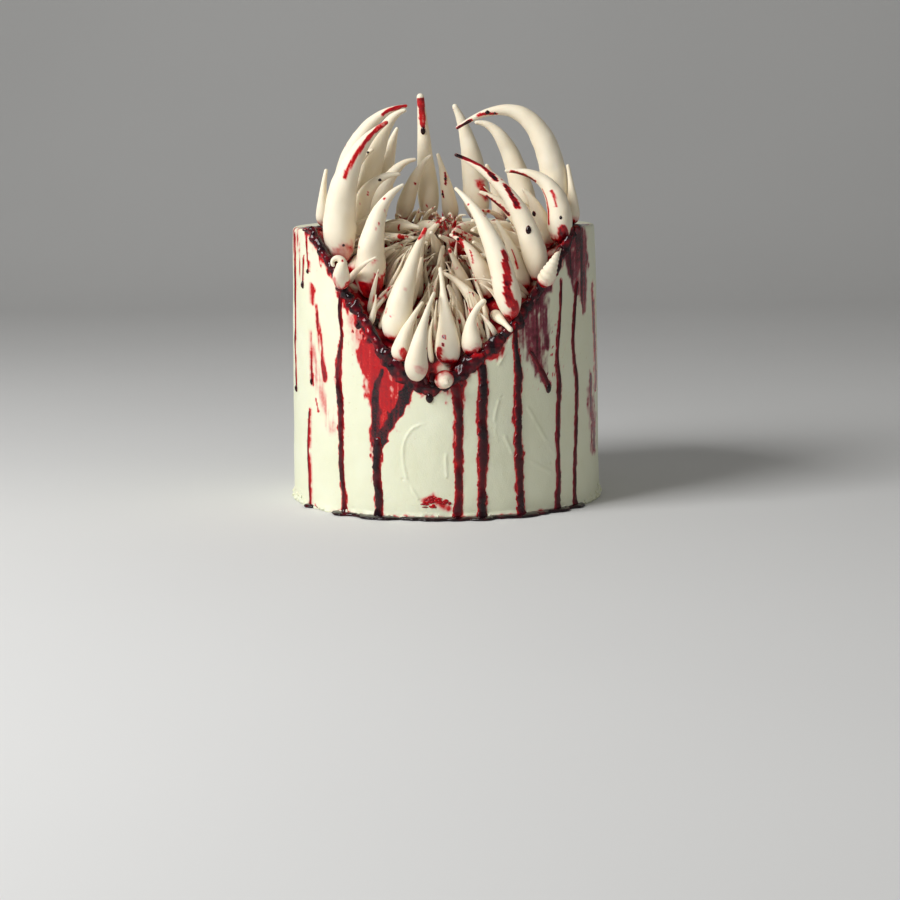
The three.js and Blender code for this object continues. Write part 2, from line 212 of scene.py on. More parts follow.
# Films of sauce wiped on the icing. Rows are [bearing in degrees, height, half width]. Depth 1 is the
# thickest
# film, edge is how softly it ends, streak how much it was dragged, and the purple value how far the film is
# tinted purple, which is painted shade and painted reflection on the cake's shaded right side.
FILMS = (
    {"path": ((-57.6, 116, 3), (-57, 109, 3.2)), "depth": 0.42, "edge": 0.6, "streak": 0.5},
    {
        "path": ((-59.2, 112, 0.9), (-58.6, 94, 0.8), (-58.2, 66, 1.6)),
        "depth": 0.62, "edge": 0.3, "streak": 0.4,
    },
    {"path": ((-55, 107, 2), (-52.3, 89, 3.4), (-49.6, 70, 2.8)), "depth": 0.5, "edge": 0.8, "streak": 0.7},
    {"path": ((-57, 84, 4), (-52, 62, 5.5), (-45, 44, 4)), "depth": 0.24, "edge": 1.0, "streak": 0.8},
    {"path": ((-55.5, 58, 0.8), (-54, 52, 0.9)), "depth": 0.6, "edge": 0.3, "streak": 0.2},
    {"path": ((-35, 102, 5), (-31, 93, 9), (-26, 86, 9)), "depth": 0.27, "edge": 0.9, "streak": 0.3},
    {
        "path": ((-29, 86, 6), (-26, 76, 8), (-24, 64, 8), (-24, 52, 5.5), (-25, 40, 3)),
        "depth": 0.5, "edge": 0.4, "streak": 0.08,
    },
    {
        "path": ((-22, 92, 7), (-17, 84, 7), (-15.5, 72, 6), (-18, 58, 5)),
        "depth": 0.5, "edge": 0.5, "streak": 0.2,
    },
    {
        "path": ((-23, 76, 1.6), (-25.4, 66, 3), (-25.8, 56, 4), (-25.2, 40, 3.2)),
        "depth": 0.86, "edge": 0.7, "streak": 0.1,
    },
    {
        "path": ((-13.5, 88, 4.5), (-13, 70, 3.4), (-16.5, 57, 3.6), (-22, 46, 3.4), (-25, 38, 3)),
        "depth": 0.95, "edge": 0.5, "streak": 0.1,
    },
    {"path": ((2.5, 76, 7), (4, 66, 5), (4.6, 55, 3)), "depth": 0.6, "edge": 0.5, "streak": 0.4},
    {"path": ((13, 80, 3), (13.6, 66, 3)), "depth": 0.6, "edge": 0.6, "streak": 0.5},
    {
        "path": ((29, 114, 8), (32, 100, 11), (34, 86, 9), (36, 74, 5)),
        "depth": 0.66, "edge": 0.9, "streak": 0.4, "plum": 0.9,
    },
    {
        "path": ((36, 120, 6), (38, 104, 5), (40, 86, 3)),
        "depth": 0.54, "edge": 0.8, "streak": 0.6, "plum": 1,
    },
    {
        "path": ((59, 146, 11), (62, 130, 11), (63, 116, 7.5), (64, 103, 3)),
        "depth": 0.74, "edge": 0.6, "streak": 0.35, "plum": 0.7,
    },
    {
        "path": ((50, 138, 5), (54, 128, 6), (57, 116, 4)),
        "depth": 0.68, "edge": 0.6, "streak": 0.4, "plum": 0.9,
    },
    {
        "path": ((69, 64, 5), (71, 46, 8), (72, 30, 6)),
        "depth": 0.64, "edge": 0.7, "streak": 0.55, "plum": 0.6,
    },
    {"path": ((75, 113, 2.6), (76, 88, 3.6), (77, 62, 5)), "depth": 0.6, "edge": 0.5, "streak": 0.6},
    {"path": ((-72, 146, 3), (-70, 130, 2), (-68, 116, 1)), "depth": 0.45, "edge": 0.8, "streak": 0.9},
    {"path": ((-63, 146, 3), (-61, 134, 1.4)), "depth": 0.4, "edge": 0.8, "streak": 0.9},
    {"path": ((-80, 146, 4), (-78, 120, 2), (-76, 90, 1)), "depth": 0.42, "edge": 0.8, "streak": 0.9},
    {"path": ((-8, 10, 1.8), (-4.5, 11, 2.6), (0.5, 6, 3)), "depth": 0.42, "edge": 0.9, "streak": 0.25},
)

# Runs of sauce that stand proud of the icing. Rows are [bearing, height, half width], and height is
# their relief. The purple value is painted shade and painted reflection on the shaded right side.
DRIPS = (
    {
        "path": ((-76, 144, 0.5), (-75.3, 108, 0.6), (-76, 81, 0.5), (-74.8, 62, 0.7)),
        "height": 0.7, "bead": (1.1, 2.2),
    },
    {"path": ((-62.2, 141, 0.4), (-60.9, 125, 0.5)), "height": 0.5, "bead": (0.8, 1.4)},
    {"path": ((-65.2, 132, 0.4), (-65.4, 118, 0.5)), "height": 0.6, "bead": (1.2, 2.2)},
    {"path": ((-58.3, 82, 0.6), (-58.3, 68, 0.8)), "height": 0.5, "bead": (0.9, 2)},
    {
        "path": ((-60.4, 52, 0.7), (-61.4, 42, 1), (-61.6, 30, 1), (-61.2, 18, 0.9), (-60.7, 1, 1.2)),
        "height": 0.6,
    },
    {
        "path": (
            (-40.2, 120, 1.2), (-41, 106, 1.1), (-40.1, 93, 0.8), (-41.2, 85, 1.3), (-42.2, 72, 2.1),
            (-41.4, 59, 2),
            (-41, 49, 1.8), (-41.1, 34, 1.7), (-40.7, 20, 1.5), (-39.8, 12, 1.5), (-39.6, 1, 1.8),
        ),
        "height": 1.0,
    },
    {
        "path": ((-25.1, 42, 2.4), (-25.3, 34, 2.3), (-25.4, 24, 2.3), (-24.8, 14, 2.2), (-24.8, 1, 2.3)),
        "height": 1.2,
    },
    {
        "path": (
            (3.6, 70, 3), (4.2, 62, 2.4), (4.7, 54, 2), (4.6, 44, 2), (4.5, 30, 1.9), (4.4, 15, 1.9),
            (3.7, 2, 2.4),
        ),
        "height": 0.9,
    },
    {
        "path": (
            (13, 80, 2.2), (13.4, 66, 2.4), (12.9, 51, 2.3), (13.2, 36, 2.6), (12.7, 20, 2.1),
            (12.5, 1, 2.2),
        ),
        "height": 1.1,
    },
    {
        "path": (
            (26.2, 100, 1.3), (25.8, 88, 1.5), (26.9, 75, 2.1), (26.7, 60, 2.2), (26.6, 44, 2.1),
            (26.8, 29, 2.4),
            (27.1, 13, 2.2), (27.3, 1, 2.3),
        ),
        "height": 1.2,
    },
    {
        "path": (
            (47.5, 119, 0.8), (46.7, 104, 0.9), (45.4, 89, 1), (44.7, 78, 1.3), (45.6, 65, 1.6),
            (44.8, 47, 1.5),
            (44.6, 32, 1.3), (44.4, 16, 1.5), (43.7, 1, 1.9),
        ),
        "height": 0.9,
        "plum": 0.6,
    },
    {
        "path": (
            (58.6, 118, 1.6), (55.4, 101, 1.2), (54.4, 85, 1.4), (56.1, 66, 1.5), (55.7, 46, 1.4),
            (54.7, 25, 1.4),
            (53.7, 9, 1.5), (53.5, 1, 1.9),
        ),
        "height": 0.9,
        "plum": 0.6,
    },
    {"path": ((-7.4, 74, 1.6), (-6.2, 68, 1), (-5.6, 64, 1.2)), "height": 1, "bead": (2.1, 2.9)},
    {"path": ((-4.8, 76, 2.2), (-4.5, 70, 1.8)), "height": 1.2, "bead": (1.9, 2.3)},
    {
        "path": ((32, 85, 1.3), (34.5, 79, 1.5), (37.7, 72, 1.7), (40, 66, 1.7)),
        "height": 0.9, "bead": (1.8, 2.9), "plum": 0.6,
    },
)

# Pools of sauce at the foot: the bearing, how far out they spread, and half their width.
POOLS = (
    (-39.6, 3.8, 5), (-24.8, 5.0, 9), (-12, 2.6, 6), (-4, 3.8, 8), (3.7, 4.0, 6), (12.5, 4.4, 7),
    (20, 3.0, 6), (27.3, 5.0, 8), (35, 3.2, 5), (43.7, 4.2, 5), (53.5, 3.4, 5), (-60.7, 2.0, 2.5),
    (-32, 2.4, 5),
)

# Thin raised lines left by the edge of the spatula. Rows are [bearing, height].
RIDGES = (
    ((24.2, 92), (21.8, 84), (19.5, 79)),
    ((30.8, 55.5), (36.8, 42), (43, 29)),
    ((28.4, 29), (32.6, 27), (40.4, 21)),
    ((21.4, 41.5), (24.1, 33)),
    ((-5.6, 50), (-11.7, 47), (-15, 39.4), (-15.4, 30), (-13.7, 19.5), (-10.1, 11)),
    ((0.7, 40), (-0.1, 32), (0.2, 20.6)),
    ((19, 60), (17.5, 50), (18.5, 40)),
    ((-66, 143), (-57.3, 140), (-50.6, 135), (-45, 129)),
    ((-100, 120), (-112, 96), (-118, 60)),
    ((104, 110), (118, 80), (124, 44)),
    ((150, 126), (164, 92), (170, 50)),
    ((-150, 100), (-162, 66), (-160, 30)),
)


# Sauce on the fangs. Each path's rows are [share of the length from the foot, turn in degrees], where
# turn 0 looks
# to the front and grows to the left, then come the half width and the thickness of the film.
STAINS = {
    1: ((((0.2, -10), (0.1, -40)), 2.0, 0.4),),
    2: ((((0.88, 40), (0.98, 0)), 1.2, 0.4), (((0.43, -5), (0.42, -7)), 1.0, 0.18)),
    3: ((((0.08, 30), (0.05, -44)), 3.4, 0.56), (((0.13, -30), (0.05, -50)), 1.2, 0.6)),
    4: ((((0.13, -38), (0.1, -70)), 1.5, 0.42), (((0.2, 50), (0.1, 40)), 1.0, 0.4)),
    5: ((((0.5, 6), (0.73, -6), (0.98, 10)), 1.5, 0.5), (((0.05, 20), (0.07, -45)), 3.6, 0.34)),
    8: ((((0.78, -4), (0.98, 20)), 1.2, 0.52),),
    13: ((((0.2, -8), (0.15, -51)), 1.4, 0.26),),
    14: (
        (((0.24, 15), (0.23, 15)), 0.7, 0.85),
        (((0.17, 21), (0.16, 21)), 0.8, 0.85),
        (((0.12, 40), (0.06, 60)), 2, 0.6),
    ),
    19: ((((0.37, -43), (0.26, -20), (0.13, 4)), 1.9, 0.74), (((0.1, 0), (0.05, -30)), 2.6, 0.6)),
    20: ((((0.62, -3), (0.46, 34)), 0.5, 0.5),),
    21: ((((0.52, 0), (0.26, 7)), 0.5, 0.5),),
    22: ((((0.8, 58), (0.98, 50)), 1.2, 0.85),),
    23: (
        (((0.985, 0), (0.93, -40), (0.81, -44), (0.7, -13)), 1.3, 0.62),
        (((0.985, 0), (0.95, -20)), 1.4, 0.9),
        (((0.74, -20), (0.69, -13)), 1.5, 0.9),
        (((0.61, -32), (0.55, -17), (0.47, -7)), 1.5, 0.86),
    ),
    25: (
        (((0.93, 50), (0.85, 52), (0.69, 56)), 1.2, 0.74),
        (((0.54, 60), (0.33, 64), (0.14, 65)), 0.7, 0.56),
        (((0.46, 5), (0.29, 9)), 0.7, 0.52),
        (((0.09, -11), (0.05, -34)), 2.2, 0.8),
    ),
    26: ((((0.87, -15), (0.77, 50)), 0.9, 0.56), (((0.985, 40), (0.93, 27)), 1.0, 0.9)),
    29: ((((0.85, 60), (0.66, 50), (0.46, 39)), 1.4, 0.7),),
    30: ((((0.94, -10), (0.8, -6), (0.68, -3)), 1.6, 0.56),),
    32: ((((0.26, -20), (0.17, -46)), 2.4, 0.44),),
    33: ((((0.64, -28), (0.49, 2)), 0.6, 0.8), (((0.4, 50), (0.32, 43)), 0.6, 0.8)),
}

# Drops that stand on the fangs: the share of the length, the turn, half the width and half the length.
DROPS = {
    23: ((0.305, -3, 1.5, 2.4),),
    24: ((0.5, 40, 1.2, 1.6),),
    25: ((0.19, -2, 0.9, 1.2),),
    26: ((0.815, -3, 1.3, 1.1), (0.775, 30, 0.7, 0.7)),
    30: ((0.65, 0, 1.4, 2.3),),
    6: ((0.72, -10, 1.0, 0.8),),
    33: ((0.56, -12, 0.8, 0.9), (0.36, 46, 0.8, 0.9)),
    20: ((0.85, 0, 0.8, 0.8),),
    7: ((0.9, 10, 0.7, 0.7),),
    5: ((0.1, -14, 0.8, 0.8),),
}

# Splashes over whatever stands in the mouth: middle, reach to either side, and thickness of the film.
SPLASHES = (
    ((-30, -30, 151), (5, 14, 6), 0.55),
    ((-24, -44, 142), (4, 10, 3), 0.5),
    ((-34, -52, 118), (5, 9, 9), 0.5),
    ((22, -22, 158), (4, 9, 4), 0.6),
    ((0, -30, 150), (5, 18, 8), 0.62),
    ((8, -34, 138), (5, 16, 9), 0.55),
)


def relief(bearing, z):
    """How far the icing stands in or out of the plain side."""
    where = polar(bearing, side_radius(z), z)
    flat = unrolled(bearing, z)
    lift = 0.42 * cloud(where, (38, 38, 30), 3) + 0.2 * cloud(where, (15, 15, 22), 4)
    lift += 0.09 * cloud(where, (6, 6, 9), 5) + 0.05 * cloud(where, (2.4, 2.4, 3), 6)
    pits = np.clip(billow(where, (3.2, 3.2, 2.6), 9, 2) - 0.95, 0, 1)
    lift -= 0.9 * pits
    for number, path in enumerate(RIDGES):
        rows = along_path(path, 2.0)
        gap, _ = stroke_distance(flat[:, (0, 2)], np.column_stack((rows, np.ones(len(rows)))))
        broken = ease_between(cloud(flat, (4, 4, 4), 40 + number), -0.7, 0.2)
        lift += 0.42 * broken * np.exp(-((gap / 0.75) ** 2))
    ragged = np.clip(0.4 + billow(where, (5, 5, 2.2), 12, 3), 0, 2)
    lift += (0.5 + 0.9 * ragged) * ease_between(z, 4.2, 0.4)
    return lift * ease_between(z, CAKE["height"], CAKE["height"] - 1.5)


def side_point(bearing, z, lift=0.0):
    """Points on the iced side, lifted off it if asked."""
    return polar(bearing, side_radius(z) + relief(bearing, z) + lift, z)


def film_on_side(bearing, z):
    """Thickness of the sauce film on the side, from 0 to 1, and how purple it is, a tint that is painted
    shade and painted reflection on the shaded right side.
    """
    flat3 = unrolled(bearing, z)
    flat = flat3[:, (0, 2)]
    film = np.zeros(len(flat))
    plum = np.zeros(len(flat))
    wobble = billow(flat3, (3.4, 3.4, 5), 21, 3)
    drag = billow(flat3, (1.3, 1.3, 17), 27, 3)
    fleck = billow(flat3, (1.7, 1.7, 1.9), 33, 2)
    for stroke in FILMS:
        gap, width = stroke_distance(flat, along_path(stroke["path"], 3.0))
        reach = gap / width * (1 + 0.35 * wobble)
        strength = ease_between(reach, 1.15, 1.1 - stroke["edge"])
        streaky = np.clip(1 + stroke["streak"] * (1.5 * drag + 0.5 * fleck - 0.1), 0, 1.35)
        layer = stroke["depth"] * strength * streaky
        # The purple share is painted shade and painted reflection, carried by the strokes on the shaded side.
        plum = np.where(layer > film, stroke.get("plum", 0.0), plum)
        film = np.maximum(film, layer)
    for run in DRIPS:
        gap, width = stroke_distance(flat, along_path(run["path"], 3.0))
        reach = (gap - 0.25) / width * (1 + 0.3 * wobble)
        layer = 0.55 * ease_between(reach, 1.2, 0.9) * np.clip(1 + 0.5 * fleck, 0, 1.2)
        plum = np.where(layer > film, run.get("plum", 0.0), plum)
        film = np.maximum(film, layer)
    splash = np.clip((fleck - 0.72) * 4, 0, 0.8)
    near = ease_between(np.abs(flat[:, 0] + 45), 16, 4) * ease_between(np.abs(flat[:, 1] - 92), 16, 6)
    near_right = ease_between(np.abs(flat[:, 0] - 57), 18, 6) * ease_between(np.abs(flat[:, 1] - 84), 26, 8)
    film = np.maximum(film, splash * np.maximum(near, 0.8 * near_right))
    levels = np.linspace(0, 1, 90)
    rim = np.full(len(flat), 1e9)
    for hand in (-1, 1):
        edge = np.stack((rim_bearing(levels, hand) * CAKE["foot"], level_height(levels)), axis=-1)
        for start in range(0, len(flat), 20000):
            gaps = np.linalg.norm(flat[start : start + 20000, None] - edge[None], axis=2).min(axis=1)
            rim[start : start + 20000] = np.minimum(rim[start : start + 20000], gaps)
    fringe = ease_between(rim * (1 + 0.5 * wobble), 6.0, 1.2)
    film = np.maximum(film, 0.78 * fringe * np.clip(1 + 0.5 * fleck, 0, 1.2))
    foot = ease_between(z * (1 + 0.4 * wobble), 2.4, 0.4) * ease_between(np.abs(bearing - 0.02), 0.86, 0.7)
    return np.clip(np.maximum(film, 0.8 * foot), 0, 1), plum


def mesh_from(name, points, faces, attributes, material, shade=True):
    """A mesh object from points in millimetres, with number attributes on its points."""
    mesh = bpy.data.meshes.new(name)
    mesh.from_pydata((np.asarray(points) * MM).tolist(), [], faces)
    for key, values in attributes.items():
        layer = mesh.attributes.new(key, "FLOAT", "POINT")
        layer.data.foreach_set("value", np.asarray(values, np.float32))
    work = bmesh.new()
    work.from_mesh(mesh)
    bmesh.ops.remove_doubles(work, verts=work.verts, dist=1e-6)
    bmesh.ops.recalc_face_normals(work, faces=work.faces)
    work.to_mesh(mesh)
    work.free()
    mesh.polygons.foreach_set("use_smooth", [shade] * len(mesh.polygons))
    mesh.materials.append(material)
    obj = bpy.data.objects.new(name, mesh)
    bpy.context.scene.collection.objects.link(obj)
    return obj


def grid_faces(rows, columns, start=0, closed=False):
    """Quads of a grid of points stored row by row. A closed grid joins its last column to its first."""
    row = np.arange(rows - 1)[:, None] * columns
    column = np.arange(columns if closed else columns - 1)[None]
    right = (column + 1) % columns
    quads = np.stack((row + column, row + right, row + columns + right, row + columns + column), axis=-1)
    return (quads.reshape(-1, 4) + start).tolist()


class Heap:
    """Points, faces and point attributes of many small shapes that are joined in one mesh."""

    def __init__(self, *keys):
        self.points, self.faces, self.count = [], [], 0
        self.values = {key: [] for key in keys}

    def add(self, points, faces, **values):
        self.faces += [tuple(index + self.count for index in face) for face in faces]
        self.points.append(points)
        self.count += len(points)
        for key, stored in self.values.items():
            stored.append(np.broadcast_to(np.asarray(values[key], float), (len(points),)))

    def object(self, name, material):
        joined = {key: np.concatenate(stored) for key, stored in self.values.items()}
        return mesh_from(name, np.vstack(self.points), self.faces, joined, material)


def new_material(name):
    material = bpy.data.materials.new(name)
    material.use_nodes = True
    tree = material.node_tree
    return material, tree, tree.nodes["Principled BSDF"]


def add_node(tree, kind, settings=None, **inputs):
    """A shader node with settings and inputs. An input that is a socket is linked."""
    node = tree.nodes.new(kind)
    for key, value in (settings or {}).items():
        setattr(node, key, value)
    for key, value in inputs.items():
        socket = node.inputs[int(key[1:])] if key[0] == "i" and key[1:].isdigit() else node.inputs[key]
        if isinstance(value, bpy.types.NodeSocket):
            tree.links.new(value, socket)
        else:
            socket.default_value = value
    return node


def math_node(tree, operation, first, second):
    return add_node(tree, "ShaderNodeMath", {"operation": operation}, i0=first, i1=second).outputs[0]


def mix_colour(tree, factor, first, second):
    second = second if isinstance(second, bpy.types.NodeSocket) else (*second[:3], 1.0)
    node = add_node(tree, "ShaderNodeMix", {"data_type": "RGBA"}, i0=factor, i6=first, i7=second)
    return node.outputs[2]


def ramp(tree, factor, stops):
    """A colour ramp from stops of (place, colour)."""
    node = add_node(tree, "ShaderNodeValToRGB", None, Fac=factor)
    elements = node.color_ramp.elements
    while len(elements) > 1:
        elements.remove(elements[-1])
    for index, (place, colour) in enumerate(stops):
        element = elements[0] if index == 0 else elements.new(place)
        element.position = place
        element.color = (*colour[:3], 1.0)
    return node.outputs["Color"]


def grey(value):
    return (value, value, value)


def noise(tree, scale, detail=3.0, stretch=(1, 1, 1)):
    """Noise in the object's own space, its scale in grains per metre."""
    place = add_node(tree, "ShaderNodeTexCoord").outputs["Object"]
    spread = add_node(tree, "ShaderNodeMapping", None, Vector=place, Scale=stretch).outputs[0]
    return add_node(tree, "ShaderNodeTexNoise", None, Vector=spread, Scale=scale, Detail=detail).outputs[0]


def attribute(tree, name):
    return add_node(tree, "ShaderNodeAttribute", {"attribute_name": name}).outputs["Fac"]


def under_film(tree, bare, looks):
    """Colour and roughness of a surface under a film of sauce, given its bare colour and roughness."""
    sauce = looks.sauce
    speck = math_node(tree, "MULTIPLY_ADD", noise(tree, 900, 4), 0.5)
    speck.node.inputs[2].default_value = 0.75
    film = math_node(tree, "MULTIPLY", attribute(tree, "film"), speck)
    red = ramp(
        tree,
        film,
        (
            (0.0, sauce.pink), (0.22, sauce.pink), (0.42, sauce.red), (0.6, sauce.deep_red),
            (0.8, sauce.maroon), (0.97, sauce.black),
        ),
    )
    # Painted shade and painted reflection: the purple ramp tints the film as the shaded side's dim bluish
    # light would.
    plum = ramp(tree, film, ((0.0, sauce.plum), (0.5, sauce.plum), (0.75, sauce.maroon), (0.97, sauce.black)))
    stain = mix_colour(tree, attribute(tree, "plum"), red, plum)
    cover = ramp(tree, film, ((0.0, grey(0.0)), (0.1, grey(0.18)), (0.3, grey(0.82)), (0.45, grey(1.0))))
    colour = mix_colour(tree, cover, bare[0], stain)
    gloss = ramp(tree, film, ((0.0, grey(bare[1])), (0.35, grey(0.3)), (0.7, grey(sauce.gloss))))
    return colour, gloss


def icing_material(looks):
    """Buttercream with crumbs in it, under its film of sauce."""
    material, tree, shader = new_material("buttercream_icing")
    mottle = ramp(tree, noise(tree, 55, 4), ((0.3, looks.icing.colour), (0.75, looks.icing.shade)))
    speck = ramp(tree, noise(tree, 420, 2), ((0.0, grey(0)), (0.72, grey(0)), (0.78, grey(0.5))))
    bare = mix_colour(tree, speck, mottle, looks.icing.speck)
    colour, gloss = under_film(tree, (bare, 0.46), looks)
    tree.links.new(colour, shader.inputs["Base Color"])
    tree.links.new(gloss, shader.inputs["Roughness"])
    fine = math_node(tree, "ADD", noise(tree, 260, 5, (1, 1, 0.55)), noise(tree, 1500, 3))
    bump = add_node(tree, "ShaderNodeBump", None, Strength=0.22, Distance=0.0006, Height=fine)
    tree.links.new(bump.outputs[0], shader.inputs["Normal"])
    shader.inputs["Subsurface Weight"].default_value = 0.12
    shader.inputs["Subsurface Radius"].default_value = (0.004, 0.003, 0.0018)
    shader.inputs["Subsurface Scale"].default_value = 0.6
    return material


def meringue_material(looks):
    """Dry meringue, with painted shade deep in the throat, under its film of sauce."""
    material, tree, shader = new_material("dry_meringue")
    mottle = ramp(tree, noise(tree, 90, 4), ((0.3, looks.fangs.colour), (0.8, looks.fangs.shade)))
    # Painted shade: the meringue is darkened and warmed deep in the mouth, where shade falls.
    toasted = mix_colour(tree, attribute(tree, "toast"), mottle, looks.fangs.toast)
    colour, gloss = under_film(tree, (toasted, 0.62), looks)
    tree.links.new(colour, shader.inputs["Base Color"])
    tree.links.new(gloss, shader.inputs["Roughness"])
    fine = math_node(tree, "ADD", noise(tree, 180, 3), math_node(tree, "MULTIPLY", noise(tree, 1400, 3), 0.4))
    bump = add_node(tree, "ShaderNodeBump", None, Strength=0.3, Distance=0.0005, Height=fine)
    tree.links.new(bump.outputs[0], shader.inputs["Normal"])
    shader.inputs["Subsurface Weight"].default_value = 0.1
    shader.inputs["Subsurface Radius"].default_value = (0.003, 0.002, 0.0012)
    shader.inputs["Subsurface Scale"].default_value = 0.5
    return material


def sauce_material(looks):
    """Wet berry sauce, from thin and red to thick and black."""
    material, tree, shader = new_material("berry_sauce")
    sauce = looks.sauce
    ripple = math_node(tree, "MULTIPLY", noise(tree, 320, 3), 0.3)
    depth = math_node(tree, "ADD", attribute(tree, "depth"), ripple)
    red = ramp(
        tree, depth, ((0.1, sauce.red), (0.32, sauce.deep_red), (0.6, sauce.maroon), (0.95, sauce.black))
    )
    # Painted shade and painted reflection: the purple ramp tints runs on the shaded side.
    plum = ramp(tree, depth, ((0.1, sauce.plum), (0.5, sauce.maroon), (0.95, sauce.black)))
    colour = mix_colour(tree, attribute(tree, "plum"), red, plum)
    tree.links.new(colour, shader.inputs["Base Color"])
    gloss = ramp(tree, noise(tree, 210, 3), ((0.35, grey(sauce.gloss)), (0.8, grey(sauce.gloss + 0.16))))
    tree.links.new(gloss, shader.inputs["Roughness"])
    bump = add_node(tree, "ShaderNodeBump", None, Strength=0.25, Distance=0.0005, Height=noise(tree, 480, 3))
    tree.links.new(bump.outputs[0], shader.inputs["Normal"])
    shader.inputs["IOR"].default_value = 1.45
    shader.inputs["Specular IOR Level"].default_value = 0.4
    return material


def floor_material(colour):
    """A pale matt floor."""
    material, tree, shader = new_material("pale_floor")
    tint = ramp(tree, noise(tree, 3, 2), ((0.3, colour), (0.8, tuple(part * 0.97 for part in colour[:3]))))
    tree.links.new(tint, shader.inputs["Base Color"])
    shader.inputs["Roughness"].default_value = 0.7
    return material


def taper(along, fullness):
    """Radius along a fang as a share of half its girth."""
    rise = np.minimum(along / TAPER["foot_share"], 1)
    foot = np.sqrt(rise * (2 - rise))
    power = TAPER["kiss"] + (TAPER["horn"] - TAPER["kiss"]) * fullness
    return foot * np.clip(1 - along ** (1 + TAPER["swell"] * fullness), 0, 1) ** power


def rings_of(node):
    """The frame's fang read back as rings of points from its foot to its tip, poles included."""
    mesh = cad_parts[node].data
    raw = np.zeros(len(mesh.vertices) * 3)
    mesh.vertices.foreach_get("co", raw)
    rounded = np.round(raw.reshape(-1, 3) / MM, 3)
    keys, index = np.unique(rounded, axis=0, return_inverse=True)
    index = index.reshape(-1)
    near = [set() for _ in keys]
    for face in mesh.polygons:
        corners = [int(index[corner]) for corner in face.vertices]
        for corner in corners:
            near[corner].update(corners)
    for pole in range(len(keys)):
        seen, layer, layers = {pole}, {pole}, [[pole]]
        while layer:
            layer = set().union(*(near[point] for point in layer)) - seen
            seen |= layer
            if layer:
                layers.append(sorted(layer))
        sides = len(layers[1])
        even = sides in RINGS and all(len(ring) == sides for ring in layers[1:-1]) and len(layers[-1]) == 1
        if even and len(layers) == len(RINGS[sides]) + 2:
            centres = np.array([keys[ring].mean(axis=0) for ring in layers])
            spokes = [np.linalg.norm(keys[ring] - keys[ring].mean(axis=0), axis=1) for ring in layers]
            radii = np.array([spoke.mean() for spoke in spokes])
            if radii[1:4].sum() < radii[-4:-1].sum():
                centres, radii = centres[::-1], radii[::-1]
            return centres, radii, np.array((0.0, *RINGS[sides], 1.0))
    raise RuntimeError(f"{node} is not a fang of rings")


def read_fang(node):
    """The curve, girth and fullness of one of the frame's fangs."""
    centres, radii, along = rings_of(node)
    weights = np.stack(((1 - along) ** 2, 2 * along * (1 - along), along**2), axis=-1)
    steer = np.linalg.lstsq(weights, centres, rcond=None)[0]
    best = None
    for fullness in np.linspace(0, 1, 41):
        shape = taper(along, fullness)[1:-2]
        half = (shape @ radii[1:-2]) / (shape @ shape)
        miss = np.square(half * shape - radii[1:-2]).sum()
        if best is None or miss < best[0]:
            best = (miss, half, fullness)
    return {"steer": steer, "half": best[1], "fullness": best[2]}


def curve_point(steer, along):
    """Points along a curve that three points steer."""
    along = np.asarray(along)[..., None]
    return (1 - along) ** 2 * steer[0] + 2 * along * (1 - along) * steer[1] + along**2 * steer[2]


def frames_along(centres, front=(0.0, -1.0, 0.0)):
    """Two directions square to a line of points. The first looks to the front as far as it can."""
    forward = np.gradient(centres, axis=0)
    forward /= np.linalg.norm(forward, axis=1)[:, None]
    facing = np.array(front) - forward * (forward @ np.array(front))[:, None]
    facing /= np.maximum(np.linalg.norm(facing, axis=1), 1e-6)[:, None]
    return facing, np.cross(facing, forward)


def horn(centres, radii, sides, wobble_seed, wobble):
    """Points and faces of a closed round horn over a centre line, and each point's turn around it."""
    facing, across = frames_along(centres)
    turn = np.arange(sides) * 2 * math.pi / sides
    around = np.cos(turn)[None, :, None] * facing[:, None] + np.sin(turn)[None, :, None] * across[:, None]
    points = centres[:, None] + around * radii[:, None, None]
    probe = points.reshape(-1, 3) + wobble_seed * 17.0
    rough = cloud(probe, 9.0, 71) + 0.45 * cloud(probe, 4.0, 72)
    reach = radii[:, None] * (1 + wobble * rough.reshape(len(radii), sides))
    points = centres[:, None] + around * reach[..., None]
    faces = grid_faces(len(centres), sides, 0, True)
    return points.reshape(-1, 3), faces, np.broadcast_to(turn, (len(radii), sides)).reshape(-1)


def keep_piece(obj, slot, *nodes):
    """Every piece rides on the cake's one body, and the frame's nodes it stands for are hidden. The slot is
    not used.
    """
    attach(obj, BODY)
    if nodes:
        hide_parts(*nodes)
    return obj


class IcingLooks(bpy.types.PropertyGroup):
    """Colours and resolution of the icing."""

    colour: bpy.props.FloatVectorProperty(
        name="Icing", description="Buttercream in the light",
        subtype="COLOR", size=3, default=(0.84, 0.855, 0.655),
    )
    shade: bpy.props.FloatVectorProperty(
        name="Icing shade", description="Buttercream in its hollows",
        subtype="COLOR", size=3, default=(0.79, 0.80, 0.58),
    )
    speck: bpy.props.FloatVectorProperty(
        name="Specks", description="Crumbs worked into the icing",
        subtype="COLOR", size=3, default=(0.66, 0.58, 0.30),
    )
    rim_steps: bpy.props.IntProperty(
        name="Rim steps", description="Columns on each edge of the mouth", default=140
    )
    back_steps: bpy.props.IntProperty(
        name="Back steps", description="Columns round the uncut back", default=110
    )
    rows: bpy.props.IntProperty(name="Rows", description="Rows from the foot to the top", default=190)
    top_rows: bpy.props.IntProperty(name="Top rows", description="Rows across the top", default=22)


